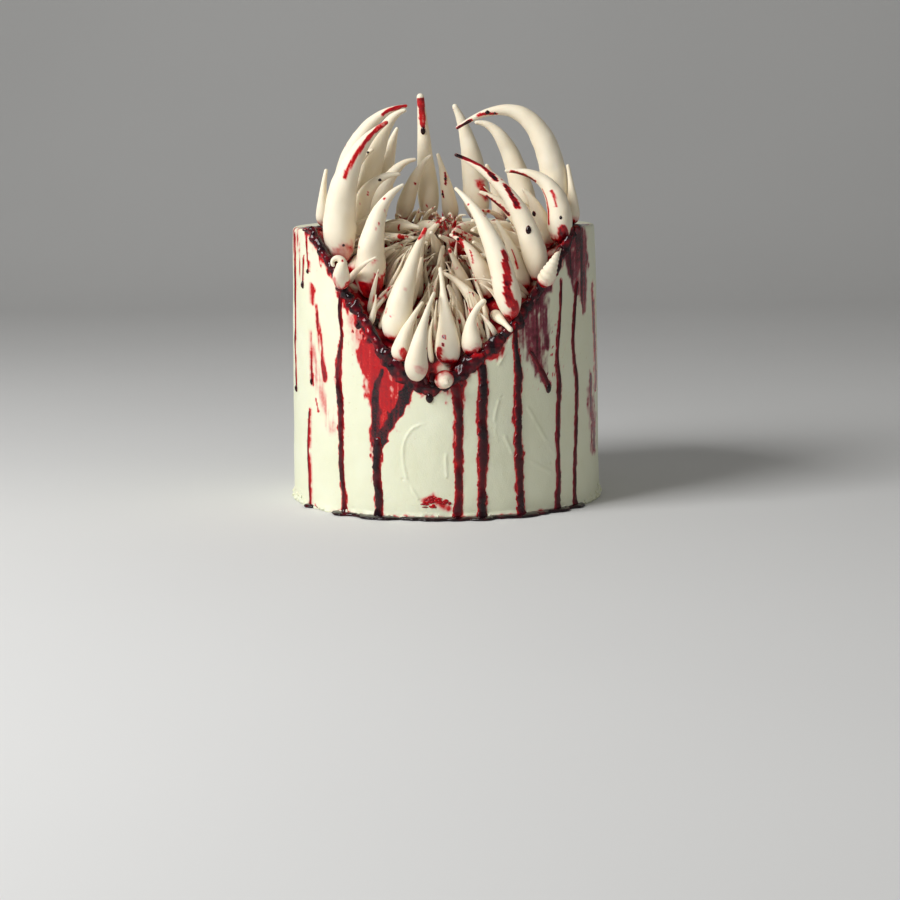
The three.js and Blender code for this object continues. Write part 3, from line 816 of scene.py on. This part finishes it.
class FangLooks(bpy.types.PropertyGroup):
    """Colours and resolution of the meringue."""

    colour: bpy.props.FloatVectorProperty(
        name="Meringue", description="Dry meringue", subtype="COLOR", size=3, default=(0.93, 0.85, 0.68)
    )
    shade: bpy.props.FloatVectorProperty(
        name="Meringue shade", description="Meringue in its hollows",
        subtype="COLOR", size=3, default=(0.89, 0.78, 0.58),
    )
    # Painted shade: this dark warm colour stands in for shade and warm bounce light deep in the throat, not
    # for browned meringue.
    toast: bpy.props.FloatVectorProperty(
        name="Toast", description="Browned meringue in the throat",
        subtype="COLOR", size=3, default=(0.42, 0.24, 0.11),
    )
    rings: bpy.props.IntProperty(name="Rings", description="Rings along one fang", default=72)
    sides: bpy.props.IntProperty(name="Sides", description="Points around one fang", default=36)
    needles: bpy.props.IntProperty(name="Needles", description="Most needles in the throat", default=170)


class SauceLooks(bpy.types.PropertyGroup):
    """Colours and gloss of the berry sauce, from a thin film to a thick pool."""

    pink: bpy.props.FloatVectorProperty(
        name="Pink", description="Thinnest film", subtype="COLOR", size=3, default=(0.78, 0.30, 0.27)
    )
    red: bpy.props.FloatVectorProperty(
        name="Red", description="Thin film", subtype="COLOR", size=3, default=(0.60, 0.002, 0.005)
    )
    deep_red: bpy.props.FloatVectorProperty(
        name="Deep red", description="Film", subtype="COLOR", size=3, default=(0.33, 0.003, 0.008)
    )
    maroon: bpy.props.FloatVectorProperty(
        name="Maroon", description="Run", subtype="COLOR", size=3, default=(0.085, 0.002, 0.007)
    )
    black: bpy.props.FloatVectorProperty(
        name="Black", description="Pool", subtype="COLOR", size=3, default=(0.010, 0.002, 0.004)
    )
    # Painted shade and painted reflection: this purple stands in for the dim bluish light on the shaded side,
    # not for dried sauce.
    plum: bpy.props.FloatVectorProperty(
        name="Plum", description="Wiped film that has dried",
        subtype="COLOR", size=3, default=(0.20, 0.030, 0.055),
    )
    gloss: bpy.props.FloatProperty(
        name="Roughness", description="Roughness of wet sauce", default=0.1, min=0, max=1
    )


class StageLooks(bpy.types.PropertyGroup):
    """Floor, light and camera."""

    floor: bpy.props.FloatVectorProperty(
        name="Floor", description="Pale floor", subtype="COLOR", size=3, default=(0.72, 0.72, 0.71)
    )
    key: bpy.props.FloatProperty(
        name="Key", description="Soft light from the left", unit="POWER", default=20.0
    )
    fill: bpy.props.FloatProperty(
        name="Fill", description="Soft light from the right", unit="POWER", default=0.5
    )
    world: bpy.props.FloatProperty(name="Surround", description="Strength of the even light", default=0.2)
    eye: bpy.props.FloatVectorProperty(
        name="Eye", description="Camera's place",
        subtype="XYZ", unit="LENGTH", size=3, default=(0.002, -1.15, 0.198),
    )
    pitch: bpy.props.FloatProperty(name="Pitch", description="Look down", subtype="ANGLE", default=0.1506)
    roll: bpy.props.FloatProperty(name="Roll", description="Tilt", subtype="ANGLE", default=0.0112)
    lens: bpy.props.FloatProperty(name="Lens", description="Focal length in millimetres", default=85.2)


class CakeLooks(bpy.types.PropertyGroup):
    """All that the cake's operators read."""

    icing: bpy.props.PointerProperty(type=IcingLooks)
    fangs: bpy.props.PointerProperty(type=FangLooks)
    sauce: bpy.props.PointerProperty(type=SauceLooks)
    stage: bpy.props.PointerProperty(type=StageLooks)


class CAKE_OT_icing(bpy.types.Operator):
    """Ices the carved cake: side, mouth, top and foot in one skin"""

    bl_idname = "cake.icing"
    bl_label = "Ice the Cake"

    def execute(self, context):
        looks = context.scene.cake_looks
        steps, back, rows = looks.icing.rim_steps, looks.icing.back_steps, looks.icing.rows
        levels = np.linspace(0, 1, steps + 1) ** (1 / MOUTH["width_flare"])
        rounding = CAKE["height"] - CAKE["round"] * (1 - np.sin(np.linspace(0, math.pi / 2, 6)))
        shares = np.concatenate((np.linspace(0, rounding[0], rows - 4)[:-1], rounding)) / CAKE["height"]
        left = rim_bearing(levels[::-1], -1)
        right = rim_bearing(levels[1:], 1)
        spread = np.linspace(-1, 1, back + 1)
        spread = 0.6 * np.sin(spread * math.pi / 2) + 0.4 * spread
        behind = math.pi + (math.pi - right[-1]) * spread
        columns = np.concatenate((left, right, behind[1:-1]))
        heights = np.concatenate((levels[::-1], levels[1:], np.ones(back - 1)))
        tops = level_height(heights)
        z = (shares[:, None] * tops[None]).reshape(-1)
        level_columns = np.broadcast_to(columns, (len(shares), len(columns))).reshape(-1)
        side = side_point(level_columns, z)
        top_edge = np.broadcast_to(shares[:, None] == 1, (len(shares), len(columns))).reshape(-1)
        side[top_edge] = polar(level_columns, side_radius(z), z)[top_edge]
        turned = np.where(level_columns > math.pi, level_columns - 2 * math.pi, level_columns)
        film, plum = film_on_side(turned, z)
        heap = Heap("film", "plum")
        heap.add(side, grid_faces(len(shares), len(columns), 0, True), film=film, plum=plum)

        angles = np.linspace(math.pi / 2, -math.pi / 2, back + 1)
        wall = wall_point(levels[:, None], angles[None])
        inner = np.sin(np.linspace(0, math.pi, back + 1)) * np.minimum(1, 3 * levels * (1 - levels))[:, None]
        wall[..., 1] += 0.9 * inner * billow(wall.reshape(-1, 3), 8.0, 51, 3).reshape(inner.shape)
        smear = 0.55 + 0.5 * billow(wall.reshape(-1, 3), 7.0, 55, 3)
        # The mouth's wall carries a little of the purple tint, painted shade and painted reflection.
        heap.add(wall.reshape(-1, 3), grid_faces(len(levels), back + 1), film=np.clip(smear, 0, 1), plum=0.2)

        across = np.linspace(0, 1, looks.icing.top_rows)[:, None, None]
        outer = polar(behind, side_radius(CAKE["height"]), CAKE["height"])
        top = wall[-1][None] * (1 - across) + outer[None] * across
        bulge = (across * (1 - across) * 4)[..., 0]
        flat = top.reshape(-1, 3)
        top[..., 2] += bulge * (0.5 * billow(flat, 14.0, 61, 4)).reshape(top.shape[:2])
        inward = np.linalg.norm(top - wall[-1][None], axis=2).reshape(-1)
        corner = ease_between(np.abs(np.broadcast_to(behind, top.shape[:2]).reshape(-1) - math.pi), 1.35, 1.8)
        wet = ease_between(inward * (1 + 0.5 * billow(flat, 6.0, 65, 3)), 9 + 10 * corner, 2 + 8 * corner)
        # The top's wet band carries a little of the purple tint, painted shade and painted reflection.
        heap.add(flat, grid_faces(*top.shape[:2]), film=np.clip(0.85 * wet, 0, 1), plum=0.2)

        foot = np.vstack((side[: len(columns)], (0.0, 0.0, 0.0)))
        rim = len(columns)
        heap.add(foot, [(i, rim, (i + 1) % rim) for i in range(rim)], film=0.0, plum=0.0)
        obj = heap.object("icing", icing_material(looks))
        keep_piece(obj, "icing", "iced_cake")
        return {"FINISHED"}


class CAKE_OT_fangs(bpy.types.Operator):
    """Pipes every meringue fang over its node of the frame"""

    bl_idname = "cake.fangs"
    bl_label = "Pipe the Fangs"

    def execute(self, context):
        looks = context.scene.cake_looks
        material = meringue_material(looks)
        body = np.linspace(0.16, 0.95, looks.fangs.rings - 16)[1:]
        along = np.concatenate((np.linspace(0, 0.16, 10), body, TIP_STEPS))
        drops = Heap("depth", "plum")
        for number, node in enumerate(FANG_NODES, 1):
            fang = read_fang(node)
            centres = curve_point(fang["steer"], along)
            if number in CURLS:
                centres = curled(centres, along, *CURLS[number])
            radii = piped_radius(centres, along, fang, BLUNT.get(number, TIP_RADIUS))
            if number in WRINKLED:
                radii = radii * (1 + 0.06 * np.sin(along * 60))
            points, faces, turn = horn(centres, radii, looks.fangs.sides, number, FANG_WOBBLE)
            place = np.repeat(along, looks.fangs.sides)
            film = fang_film(number, points, place, turn, fang)
            # The throat value is painted shade deep in the mouth.
            data = {"film": film, "plum": np.zeros(len(film)), "toast": throat_toast(points)}
            obj = mesh_from(f"meringue_{node}", points, faces, data, material)
            keep_piece(obj, "meringue", node)
            facing, across = frames_along(centres)
            for share, angle, half_wide, half_long in DROPS.get(number, ()):
                ring = int(np.argmin(np.abs(along - share)))
                spin = math.radians(angle)
                out = math.cos(spin) * facing[ring] + math.sin(spin) * across[ring]
                seat = centres[ring] + out * radii[ring]
                up = np.array((0, 0, 1.0)) if abs(out[2]) < 0.9 else np.array((0, 1.0, 0))
                dome(drops, seat, out, up, half_wide, half_long, 0.5 + 0.45 * half_wide)
        keep_piece(drops.object("fang_drops", sauce_material(looks)), "sauce")
        return {"FINISHED"}


def curled(centres, along, start, wide, narrow, degrees):
    """A centre line whose end curls over to the left, seen from the front."""
    base = np.array([np.interp(start, along, column) for column in centres.T])
    share = np.clip((along - start) / (1 - start), 0, 1)
    angle = np.radians(degrees) * share
    radius = wide + (narrow - wide) * share
    spiral = base + np.stack((radius * np.cos(angle) - wide, -0.6 * share, radius * np.sin(angle)), axis=-1)
    return np.where((along > start)[:, None], spiral, centres)


def piped_radius(centres, along, fang, blunt):
    """Radius along a piped fang: a full foot, a drawn neck and a blunt rounded tip."""
    drawn = np.interp(along, (0, 0.18, 0.36, 0.55, 0.75, 0.9, 1), (1.0, 1.04, 0.95, 0.82, 0.73, 0.74, 0.85))
    plain = fang["half"] * taper(along, fang["fullness"]) * drawn
    plain = np.sqrt(plain**2 + (blunt * ease_between(along, 0.2, 0.9)) ** 2)
    run = np.concatenate(([0], np.cumsum(np.linalg.norm(np.diff(centres, axis=0), axis=1))))
    left = np.clip((run[-1] - run) / (1.2 * blunt), 0, 1)
    return plain * np.sqrt(np.clip(left * (2 - left), 0, 1))


def throat_toast(points):
    """Painted shade: how far the meringue is darkened and warmed deep in the mouth, where shade falls."""
    deep = ease_between(points[:, 2], 152, 96) * ease_between(points[:, 1], -74, -46)
    return 0.4 * deep


def splashed(points):
    """Film of the splashes over points that stand in the mouth."""
    film = np.zeros(len(points))
    rough = billow(points, 3.0, 83, 3)
    for middle, reach, depth in SPLASHES:
        gap = np.linalg.norm((points - np.array(middle)) / np.array(reach), axis=1)
        film = np.maximum(film, depth * ease_between(gap * (1 + 0.7 * rough), 1.05, 0.6))
    return film


def fang_film(number, points, place, turn, fang):
    """Sauce on a fang: its foot stands in it, streaks run along it, and splashes cross it."""
    length = np.linalg.norm(fang["steer"][2] - fang["steer"][0])
    rough = billow(points, 2.6, 81, 3)
    reach = place * length * (1 + 0.6 * rough)
    film = 0.66 * ease_between(reach, 4.2, 0.6) * np.clip(1 + 0.9 * rough, 0, 1.2)
    half = np.maximum(fang["half"] * taper(place, fang["fullness"]), 1.0)
    for path, width, depth in STAINS.get(number, ()):
        rows = np.asarray(path, float)
        best = np.full(len(points), 1e9)
        for (along0, turn0), (along1, turn1) in zip(rows, rows[1:]):
            lean = (np.degrees(turn) + 180) % 360 - 180
            flat = np.stack((place * length, np.radians(lean) * half), axis=-1)
            start = np.stack((np.full(len(points), along0 * length), math.radians(turn0) * half), axis=-1)
            end = np.stack((np.full(len(points), along1 * length), math.radians(turn1) * half), axis=-1)
            run = end - start
            square = np.maximum((run * run).sum(axis=1), 1e-6)
            share = np.clip(((flat - start) * run).sum(axis=1) / square, 0, 1)
            best = np.minimum(best, np.linalg.norm(flat - start - share[:, None] * run, axis=1))
        strength = ease_between(best / width * (1 + 0.45 * rough), 1.2, 0.75)
        layer = depth * strength * np.clip(1 + 0.35 * rough, 0, 1.15)
        film = np.maximum(film, layer)
    return np.clip(np.maximum(film, splashed(points)), 0, 1)


class CAKE_OT_needles(bpy.types.Operator):
    """Fills the throat with small piped needles"""

    bl_idname = "cake.needles"
    bl_label = "Pipe the Needles"

    def execute(self, context):
        looks = context.scene.cake_looks
        draw = np.random.default_rng(5)
        taken, sizes = [], []
        for node in FANG_NODES:
            fang = read_fang(node)
            spots = np.linspace(0, 1, 30)
            taken.append(curve_point(fang["steer"], spots))
            sizes.append(np.maximum(fang["half"] * taper(spots, fang["fullness"]), 0.5))
        taken, sizes = np.vstack(taken), np.concatenate(sizes)
        heap = Heap("film", "plum", "toast")
        made = 0
        for _ in range(6000):
            level = draw.uniform(0.12, 1.0)
            angle = draw.uniform(-1.22, 1.22)
            foot = wall_point(level, angle)
            aim = FOCUS + draw.normal(0, 14, 3)
            length = draw.uniform(20, 40) * (0.6 + 0.4 * level)
            tip = foot + (aim - foot) / np.linalg.norm(aim - foot) * length
            middle = (foot + tip) / 2 + draw.normal(0, 1.2, 3) + np.array((0, 0, 1.5))
            half = draw.uniform(1.1, 2.0)
            steer = np.stack((foot, 2 * middle - (foot + tip) / 2, tip))
            spots = np.linspace(0.05, 1, 12)
            line = curve_point(steer, spots)
            need = half * taper(spots, 0.6)
            gaps = np.linalg.norm(line[:, None] - taken[None], axis=2) - need[:, None] - sizes[None]
            if gaps.min() < 0.15:
                continue
            along = np.concatenate((np.linspace(0, 0.16, 5), np.linspace(0.16, 1, 13)[1:]))
            radii = np.maximum(half * taper(along, 0.6), 0.4 * np.sqrt(np.clip((1 - along) * 20, 0, 1)))
            radii = radii * np.sqrt(np.clip(along / 0.01, 0, 1))
            points, faces, _ = horn(curve_point(steer, along), radii, NEEDLE_SIDES, made, NEEDLE_WOBBLE)
            spot = ease_between(billow(points, 2.4, 91 + made % 7, 2), 0.5, 0.8) * draw.uniform(0.2, 1)
            film = np.maximum(0.9 * spot, splashed(points))
            # Needles deep in the mouth take the same painted shade.
            heap.add(points, faces, film=film, plum=0.0, toast=throat_toast(points))
            taken = np.vstack((taken, line))
            sizes = np.concatenate((sizes, need))
            made += 1
            if made >= looks.fangs.needles:
                break
        obj = heap.object("throat_needles", meringue_material(looks))
        keep_piece(obj, "meringue")
        return {"FINISHED"}


def dome(heap, centre, out, up, half_wide, half_long, height, plum=0.0, sides=14, rings=5):
    """A drop lying on a surface: a low dome that narrows upwards, closed underneath."""
    out = out / np.linalg.norm(out)
    up = up - out * (up @ out)
    up = up / np.linalg.norm(up)
    across = np.cross(up, out)
    turn = np.arange(sides) * 2 * math.pi / sides
    points, depth = [], []
    for ring in np.linspace(0, 1, rings + 1)[1:]:
        slope = ring * math.pi / 2
        narrow = 1 - 0.3 * np.clip(np.cos(turn), 0, 1)
        ring_points = (
            centre
            + np.outer(half_wide * math.sin(slope) * np.sin(turn) * narrow, across)
            + np.outer(half_long * math.sin(slope) * np.cos(turn), up)
            + out * (height * math.cos(slope) - 0.12)
        )
        points.append(ring_points)
        depth += [0.25 + 0.75 * math.cos(slope)] * sides
    faces = grid_faces(rings, sides, 1, True)
    first = np.vstack((centre + out * (height - 0.12), *points, centre - out * 0.3))
    last = len(first) - 1
    faces += [(0, 1 + i, 1 + (i + 1) % sides) for i in range(sides)]
    rim = 1 + (rings - 1) * sides
    faces += [(last, rim + (i + 1) % sides, rim + i) for i in range(sides)]
    heap.add(first, faces, depth=np.array((1.0, *depth, 0.2)), plum=plum)


class CAKE_OT_drips(bpy.types.Operator):
    """Runs the sauce down the side in drips and beads"""

    bl_idname = "cake.drips"
    bl_label = "Run the Drips"

    def execute(self, context):
        looks = context.scene.cake_looks
        heap = Heap("depth", "plum")
        across = np.linspace(-1, 1, 11)
        for number, run in enumerate(DRIPS):
            path = np.asarray(run["path"], float) * ((math.radians(1), 1, 1))
            scaled = path * ((CAKE["foot"], 1, 1))
            rows = along_path(scaled, 0.5)
            arc = np.arange(len(rows)) * 0.5
            probe = np.stack((arc, np.full_like(arc, 13.0 * number), np.zeros_like(arc)), axis=-1)
            ends = np.sqrt(np.clip(np.minimum(arc, 0.5 + arc[-1] - arc) / 1.2, 0.05, 1))
            wide_left = rows[:, 2] * ends * (1 + 0.3 * billow(probe, 2.6, 101, 3))
            wide_right = rows[:, 2] * ends * (1 + 0.3 * billow(probe + 50, 2.6, 102, 3))
            sway = 0.25 * cloud(probe, 6.0, 103)
            swell = 1 + 0.35 * cloud(probe, 7.0, 104)
            offset = np.where(across[None] < 0, wide_left[:, None], wide_right[:, None]) * across[None]
            bearing = (rows[:, 0, None] + sway[:, None] + offset) / CAKE["foot"]
            z = np.maximum(np.broadcast_to(rows[:, 1, None], bearing.shape), 0.1)
            crown = run["height"] * swell * np.clip(ends, 0.3, 1)
            profile = np.sqrt(np.clip(1 - across**2, 0, 1))[None] * crown[:, None]
            upper = side_point(bearing.reshape(-1), z.reshape(-1), profile.reshape(-1) - 0.06)
            lower = side_point(bearing.reshape(-1), z.reshape(-1), -0.35)
            count = len(across)
            points = np.vstack((upper, lower))
            total = len(upper)
            faces = grid_faces(len(rows), count)
            faces += [tuple(reversed(face)) for face in grid_faces(len(rows), count, total)]
            border = list(range(count)) + [r * count + count - 1 for r in range(1, len(rows))]
            border += [(len(rows) - 1) * count + i for i in range(count - 2, -1, -1)]
            border += [r * count for r in range(len(rows) - 2, 0, -1)]
            faces += [(a, a + total, b + total, b) for a, b in zip(border, border[1:] + border[:1])]
            depth = np.concatenate((profile.reshape(-1) / 1.7, np.zeros(total)))
            heap.add(points, faces, depth=depth, plum=run.get("plum", 0.0))
            if "bead" in run:
                bearing_end = rows[-1, 0] / CAKE["foot"]
                low = rows[-1, 1] - 0.4 * run["bead"][1]
                centre = side_point(np.array([bearing_end]), np.array([low]))[0]
                out = np.array((math.sin(bearing_end), -math.cos(bearing_end), 0.0))
                dome(heap, centre, out, np.array((0, 0, 1.0)), *run["bead"], 1.0 + 0.35 * run["bead"][0])
        obj = heap.object("sauce_drips", sauce_material(looks))
        keep_piece(obj, "sauce")
        return {"FINISHED"}


def blob(heap, centre, radii, turn, seed, values=None):
    """A lumpy closed blob, with the given point values or those of thick sauce."""
    sides, rings = 10, 7
    slope = np.linspace(0, math.pi, rings)
    around = np.arange(sides) * 2 * math.pi / sides
    unit = np.stack(
        (
            np.sin(slope)[:, None] * np.cos(around)[None],
            np.sin(slope)[:, None] * np.sin(around)[None],
            np.broadcast_to(np.cos(slope)[:, None], (rings, sides)),
        ),
        axis=-1,
    ).reshape(-1, 3)
    lumpy = 1 + 0.22 * cloud(unit * 2 + seed * 3.7, 1.0, 111)
    points = centre + ((unit * lumpy[:, None]) * radii) @ turn.T
    heap.add(points, grid_faces(rings, sides, 0, True), **(values or {"depth": 1.0, "plum": 0.0}))


def melted(obj, voxel, smooth):
    """Melts a heap of blobs into one skin and gives back its points in millimetres."""
    obj.modifiers.new("melt", "REMESH").voxel_size = voxel * MM
    obj.modifiers["melt"].mode = "VOXEL"
    soften = obj.modifiers.new("soften", "SMOOTH")
    soften.factor = 0.5
    soften.iterations = smooth
    context = bpy.context
    mesh = bpy.data.meshes.new_from_object(obj.evaluated_get(context.evaluated_depsgraph_get()))
    obj.modifiers.clear()
    old = obj.data
    obj.data = mesh
    bpy.data.meshes.remove(old)
    mesh.polygons.foreach_set("use_smooth", [True] * len(mesh.polygons))
    raw = np.zeros(len(mesh.vertices) * 3)
    mesh.vertices.foreach_get("co", raw)
    return raw.reshape(-1, 3) / MM


def set_attribute(obj, key, values):
    layer = obj.data.attributes.get(key) or obj.data.attributes.new(key, "FLOAT", "POINT")
    layer.data.foreach_set("value", np.asarray(values, np.float32))


def keep_above_floor(obj, points):
    """Lifts the points of a melted mesh that fell below the floor."""
    raised = points.copy()
    raised[:, 2] = np.maximum(raised[:, 2], FLOOR_GAP)
    obj.data.vertices.foreach_set("co", (raised * MM).reshape(-1))


class CAKE_OT_collar(bpy.types.Operator):
    """Heaps wet sauce along the edge of the mouth, under the fangs"""

    bl_idname = "cake.collar"
    bl_label = "Heap the Collar"

    def execute(self, context):
        looks = context.scene.cake_looks
        draw = np.random.default_rng(8)
        heap = Heap("depth", "plum")
        number = 0
        for hand in (-1, 1):
            for level in np.linspace(0, 1, 75):
                middle = ease_between(level, 0.5, 0.0)
                for _ in range(2 + int(2 * middle)):
                    size = draw.uniform(1.0, 2.3) + 1.0 * middle * draw.uniform(0.3, 1)
                    spot = np.clip(level + draw.normal(0, 0.012), 0, 1)
                    bearing = rim_bearing(spot, hand) + draw.normal(0, 0.012)
                    z = level_height(spot) - draw.uniform(-1.5, 2.2 + 2.5 * middle)
                    inside = draw.uniform(-0.4, 2.8)
                    centre = polar(bearing, side_radius(min(z, 144.0)) - inside, min(z, 146.0))
                    stretch = np.array((size * 1.25, size * 0.75, size * draw.uniform(0.9, 1.6)))
                    blob(heap, centre, stretch, np.eye(3), number)
                    number += 1
        for angle in np.linspace(-math.pi / 2, math.pi / 2, 90):
            for _ in range(2):
                edge = wall_point(1.0, angle)
                shift = (draw.normal(0, 1.4), draw.normal(0.6, 1.4), draw.uniform(-0.8, 0.4))
                centre = edge + np.array(shift)
                size = draw.uniform(0.9, 1.9)
                blob(heap, centre, np.array((size * 1.3, size * 1.3, size * 0.7)), np.eye(3), number)
                number += 1
        obj = heap.object("sauce_collar", sauce_material(looks))
        points = melted(obj, 0.6, 16)
        set_attribute(obj, "depth", 0.6 + 0.45 * billow(points, 3.0, 121, 3))
        set_attribute(obj, "plum", 0.0 * points[:, 0])
        keep_piece(obj, "sauce")
        return {"FINISHED"}


class CAKE_OT_puddles(bpy.types.Operator):
    """Pools the sauce round the front of the foot"""

    bl_idname = "cake.puddles"
    bl_label = "Pool the Sauce"

    def execute(self, context):
        looks = context.scene.cake_looks
        draw = np.random.default_rng(3)
        heap = Heap("depth", "plum")
        number = 0
        for bearing, out, wide in POOLS:
            for _ in range(9):
                turn = math.radians(bearing) + draw.uniform(-wide, wide) / CAKE["foot"]
                fade = 1 - 0.75 * abs(turn - math.radians(bearing)) * CAKE["foot"] / wide
                radius = CAKE["foot"] + 0.6 + draw.uniform(-1, 1) * fade + (out - 2.6) * fade
                size = (1.6 + 0.8 * out * draw.uniform(0.6, 1)) * (0.45 + 0.55 * fade)
                spin = np.array(Matrix.Rotation(turn, 3, "Z"))
                blob(heap, polar(turn, radius, 0.75), np.array((size * 1.4, size, 1.1)), spin, number)
                number += 1
        obj = heap.object("sauce_puddles", sauce_material(looks))
        points = melted(obj, 0.55, 3)
        keep_above_floor(obj, points)
        set_attribute(obj, "depth", 0.8 + 0.3 * billow(points, 4.0, 131, 2))
        set_attribute(obj, "plum", 0.0 * points[:, 0])
        keep_piece(obj, "sauce")
        return {"FINISHED"}


class CAKE_OT_crumbs(bpy.types.Operator):
    """Leaves rough icing crumbs round the foot and bits of pulp by the pools"""

    bl_idname = "cake.crumbs"
    bl_label = "Leave the Crumbs"

    def execute(self, context):
        looks = context.scene.cake_looks
        draw = np.random.default_rng(14)
        crumbs = Heap("film", "plum")
        for number in range(230):
            bearing = draw.uniform(-3.1, 3.1)
            if number < 110:
                bearing = draw.choice((-1, 1)) * math.radians(draw.uniform(66, 104))
            size = draw.uniform(0.5, 1.3)
            height = abs(draw.normal(0, 2.6)) if number < 110 else abs(draw.normal(0, 0.8))
            centre = side_point(np.array([bearing]), np.array([0.9 + height]))[0]
            centre += polar(bearing, draw.uniform(-0.3, 0.4), 0.0)
            flake = (draw.uniform(0.8, 2.0), draw.uniform(0.4, 0.8), draw.uniform(0.4, 0.9))
            spin = np.array(Matrix.Rotation(bearing, 3, "Z"))
            blob(crumbs, centre, size * np.array(flake), spin, 700 + number, {"film": 0.0, "plum": 0.0})
        obj = crumbs.object("icing_crumbs", icing_material(looks))
        points = melted(obj, 0.38, 1)
        keep_above_floor(obj, points)
        wet = ease_between(billow(points, 6.0, 141, 2), 0.35, 0.6) * (points[:, 1] < -40)
        set_attribute(obj, "film", 0.7 * wet)
        set_attribute(obj, "plum", 0.0 * points[:, 0])
        keep_piece(obj, "icing")
        pulp = Heap("depth", "plum")
        for number in range(34):
            bearing = math.radians(draw.uniform(-8.5, 1.5))
            height = 9.5 - 0.35 * abs(math.degrees(bearing) + 4) + draw.normal(0, 1.4)
            centre = side_point(np.array([bearing]), np.array([height]))[0]
            stretch = np.array((draw.uniform(0.7, 1.9), 0.45, draw.uniform(0.4, 0.8)))
            spin = np.array(Matrix.Rotation(bearing, 3, "Z"))
            blob(pulp, centre, stretch, spin, 1000 + number, {"depth": draw.uniform(0.0, 0.25), "plum": 0.0})
        keep_piece(pulp.object("berry_pulp", sauce_material(looks)), "sauce")
        return {"FINISHED"}


class CAKE_OT_stage(bpy.types.Operator):
    """Sets the floor, the soft light and the camera"""

    bl_idname = "cake.stage"
    bl_label = "Set the Stage"

    def execute(self, context):
        stage = context.scene.cake_looks.stage
        bend = np.linspace(0, math.pi / 2, 13)
        sweep = [(1.2 + 0.8 * math.sin(a), 0.8 - 0.8 * math.cos(a)) for a in bend]
        profile = [(-3.0, 0.0), *sweep, (2.0, 3.0)]
        wide = np.linspace(-3, 3, 13)
        points = np.array([(x, y, z) for y, z in profile for x in wide]) / MM
        faces = grid_faces(len(profile), len(wide))
        floor = mesh_from("floor", points, faces, {}, floor_material(stage.floor))
        aim = Vector((0, -0.02, 0.1))
        for name, place, size, power in (
            ("key", (-0.92, -0.66, 0.92), 0.7, stage.key),
            ("fill", (0.9, -0.9, 0.5), 1.0, stage.fill),
        ):
            light = bpy.data.lights.new(name, "AREA")
            light.energy = power
            light.size = size
            lamp = bpy.data.objects.new(name, light)
            lamp.location = place
            lamp.rotation_euler = (aim - Vector(place)).to_track_quat("-Z", "Y").to_euler()
            context.scene.collection.objects.link(lamp)
        world = bpy.data.worlds.new("surround")
        world.use_nodes = True
        backdrop = world.node_tree.nodes["Background"]
        backdrop.inputs["Color"].default_value = (1.0, 0.985, 0.96, 1.0)
        backdrop.inputs["Strength"].default_value = stage.world
        context.scene.world = world
        lens = bpy.data.cameras.new("camera")
        lens.lens = stage.lens
        lens.sensor_width = 36.0
        camera = bpy.data.objects.new("camera", lens)
        down, tilt = stage.pitch, stage.roll
        right = Vector((1, 0, 0))
        up = Vector((0, math.sin(down), math.cos(down)))
        back = Vector((0, -math.cos(down), math.sin(down)))
        turned_right = right * math.cos(tilt) + up * -math.sin(tilt)
        turned_up = up * math.cos(tilt) + right * math.sin(tilt)
        basis = Matrix((turned_right, turned_up, back)).transposed().to_4x4()
        camera.matrix_world = Matrix.Translation(Vector(stage.eye)) @ basis
        context.scene.collection.objects.link(camera)
        context.scene.camera = camera
        context.scene.view_settings.view_transform = "Standard"
        return {"FINISHED"}


OPERATORS = (
    CAKE_OT_icing,
    CAKE_OT_fangs,
    CAKE_OT_needles,
    CAKE_OT_collar,
    CAKE_OT_drips,
    CAKE_OT_puddles,
    CAKE_OT_crumbs,
    CAKE_OT_stage,
)


class CAKE_PT_panel(bpy.types.Panel):
    """Lists the steps that build the cake"""

    bl_idname = "CAKE_PT_panel"
    bl_label = "Layer Cake"
    bl_space_type = "VIEW_3D"
    bl_region_type = "UI"
    bl_category = "Cake"

    def draw(self, context):
        for operator in OPERATORS:
            self.layout.operator(operator.bl_idname)


CLASSES = (IcingLooks, FangLooks, SauceLooks, StageLooks, CakeLooks, *OPERATORS, CAKE_PT_panel)


def register():
    for each in CLASSES:
        bpy.utils.register_class(each)
    bpy.types.Scene.cake_looks = bpy.props.PointerProperty(type=CakeLooks)


def unregister():
    del bpy.types.Scene.cake_looks
    for each in reversed(CLASSES):
        bpy.utils.unregister_class(each)


def main():
    """Builds every piece in order."""
    register()
    bpy.ops.cake.icing()
    bpy.ops.cake.fangs()
    bpy.ops.cake.needles()
    bpy.ops.cake.collar()
    bpy.ops.cake.drips()
    bpy.ops.cake.puddles()
    bpy.ops.cake.crumbs()
    bpy.ops.cake.stage()


if __name__ == "__main__":
    main()
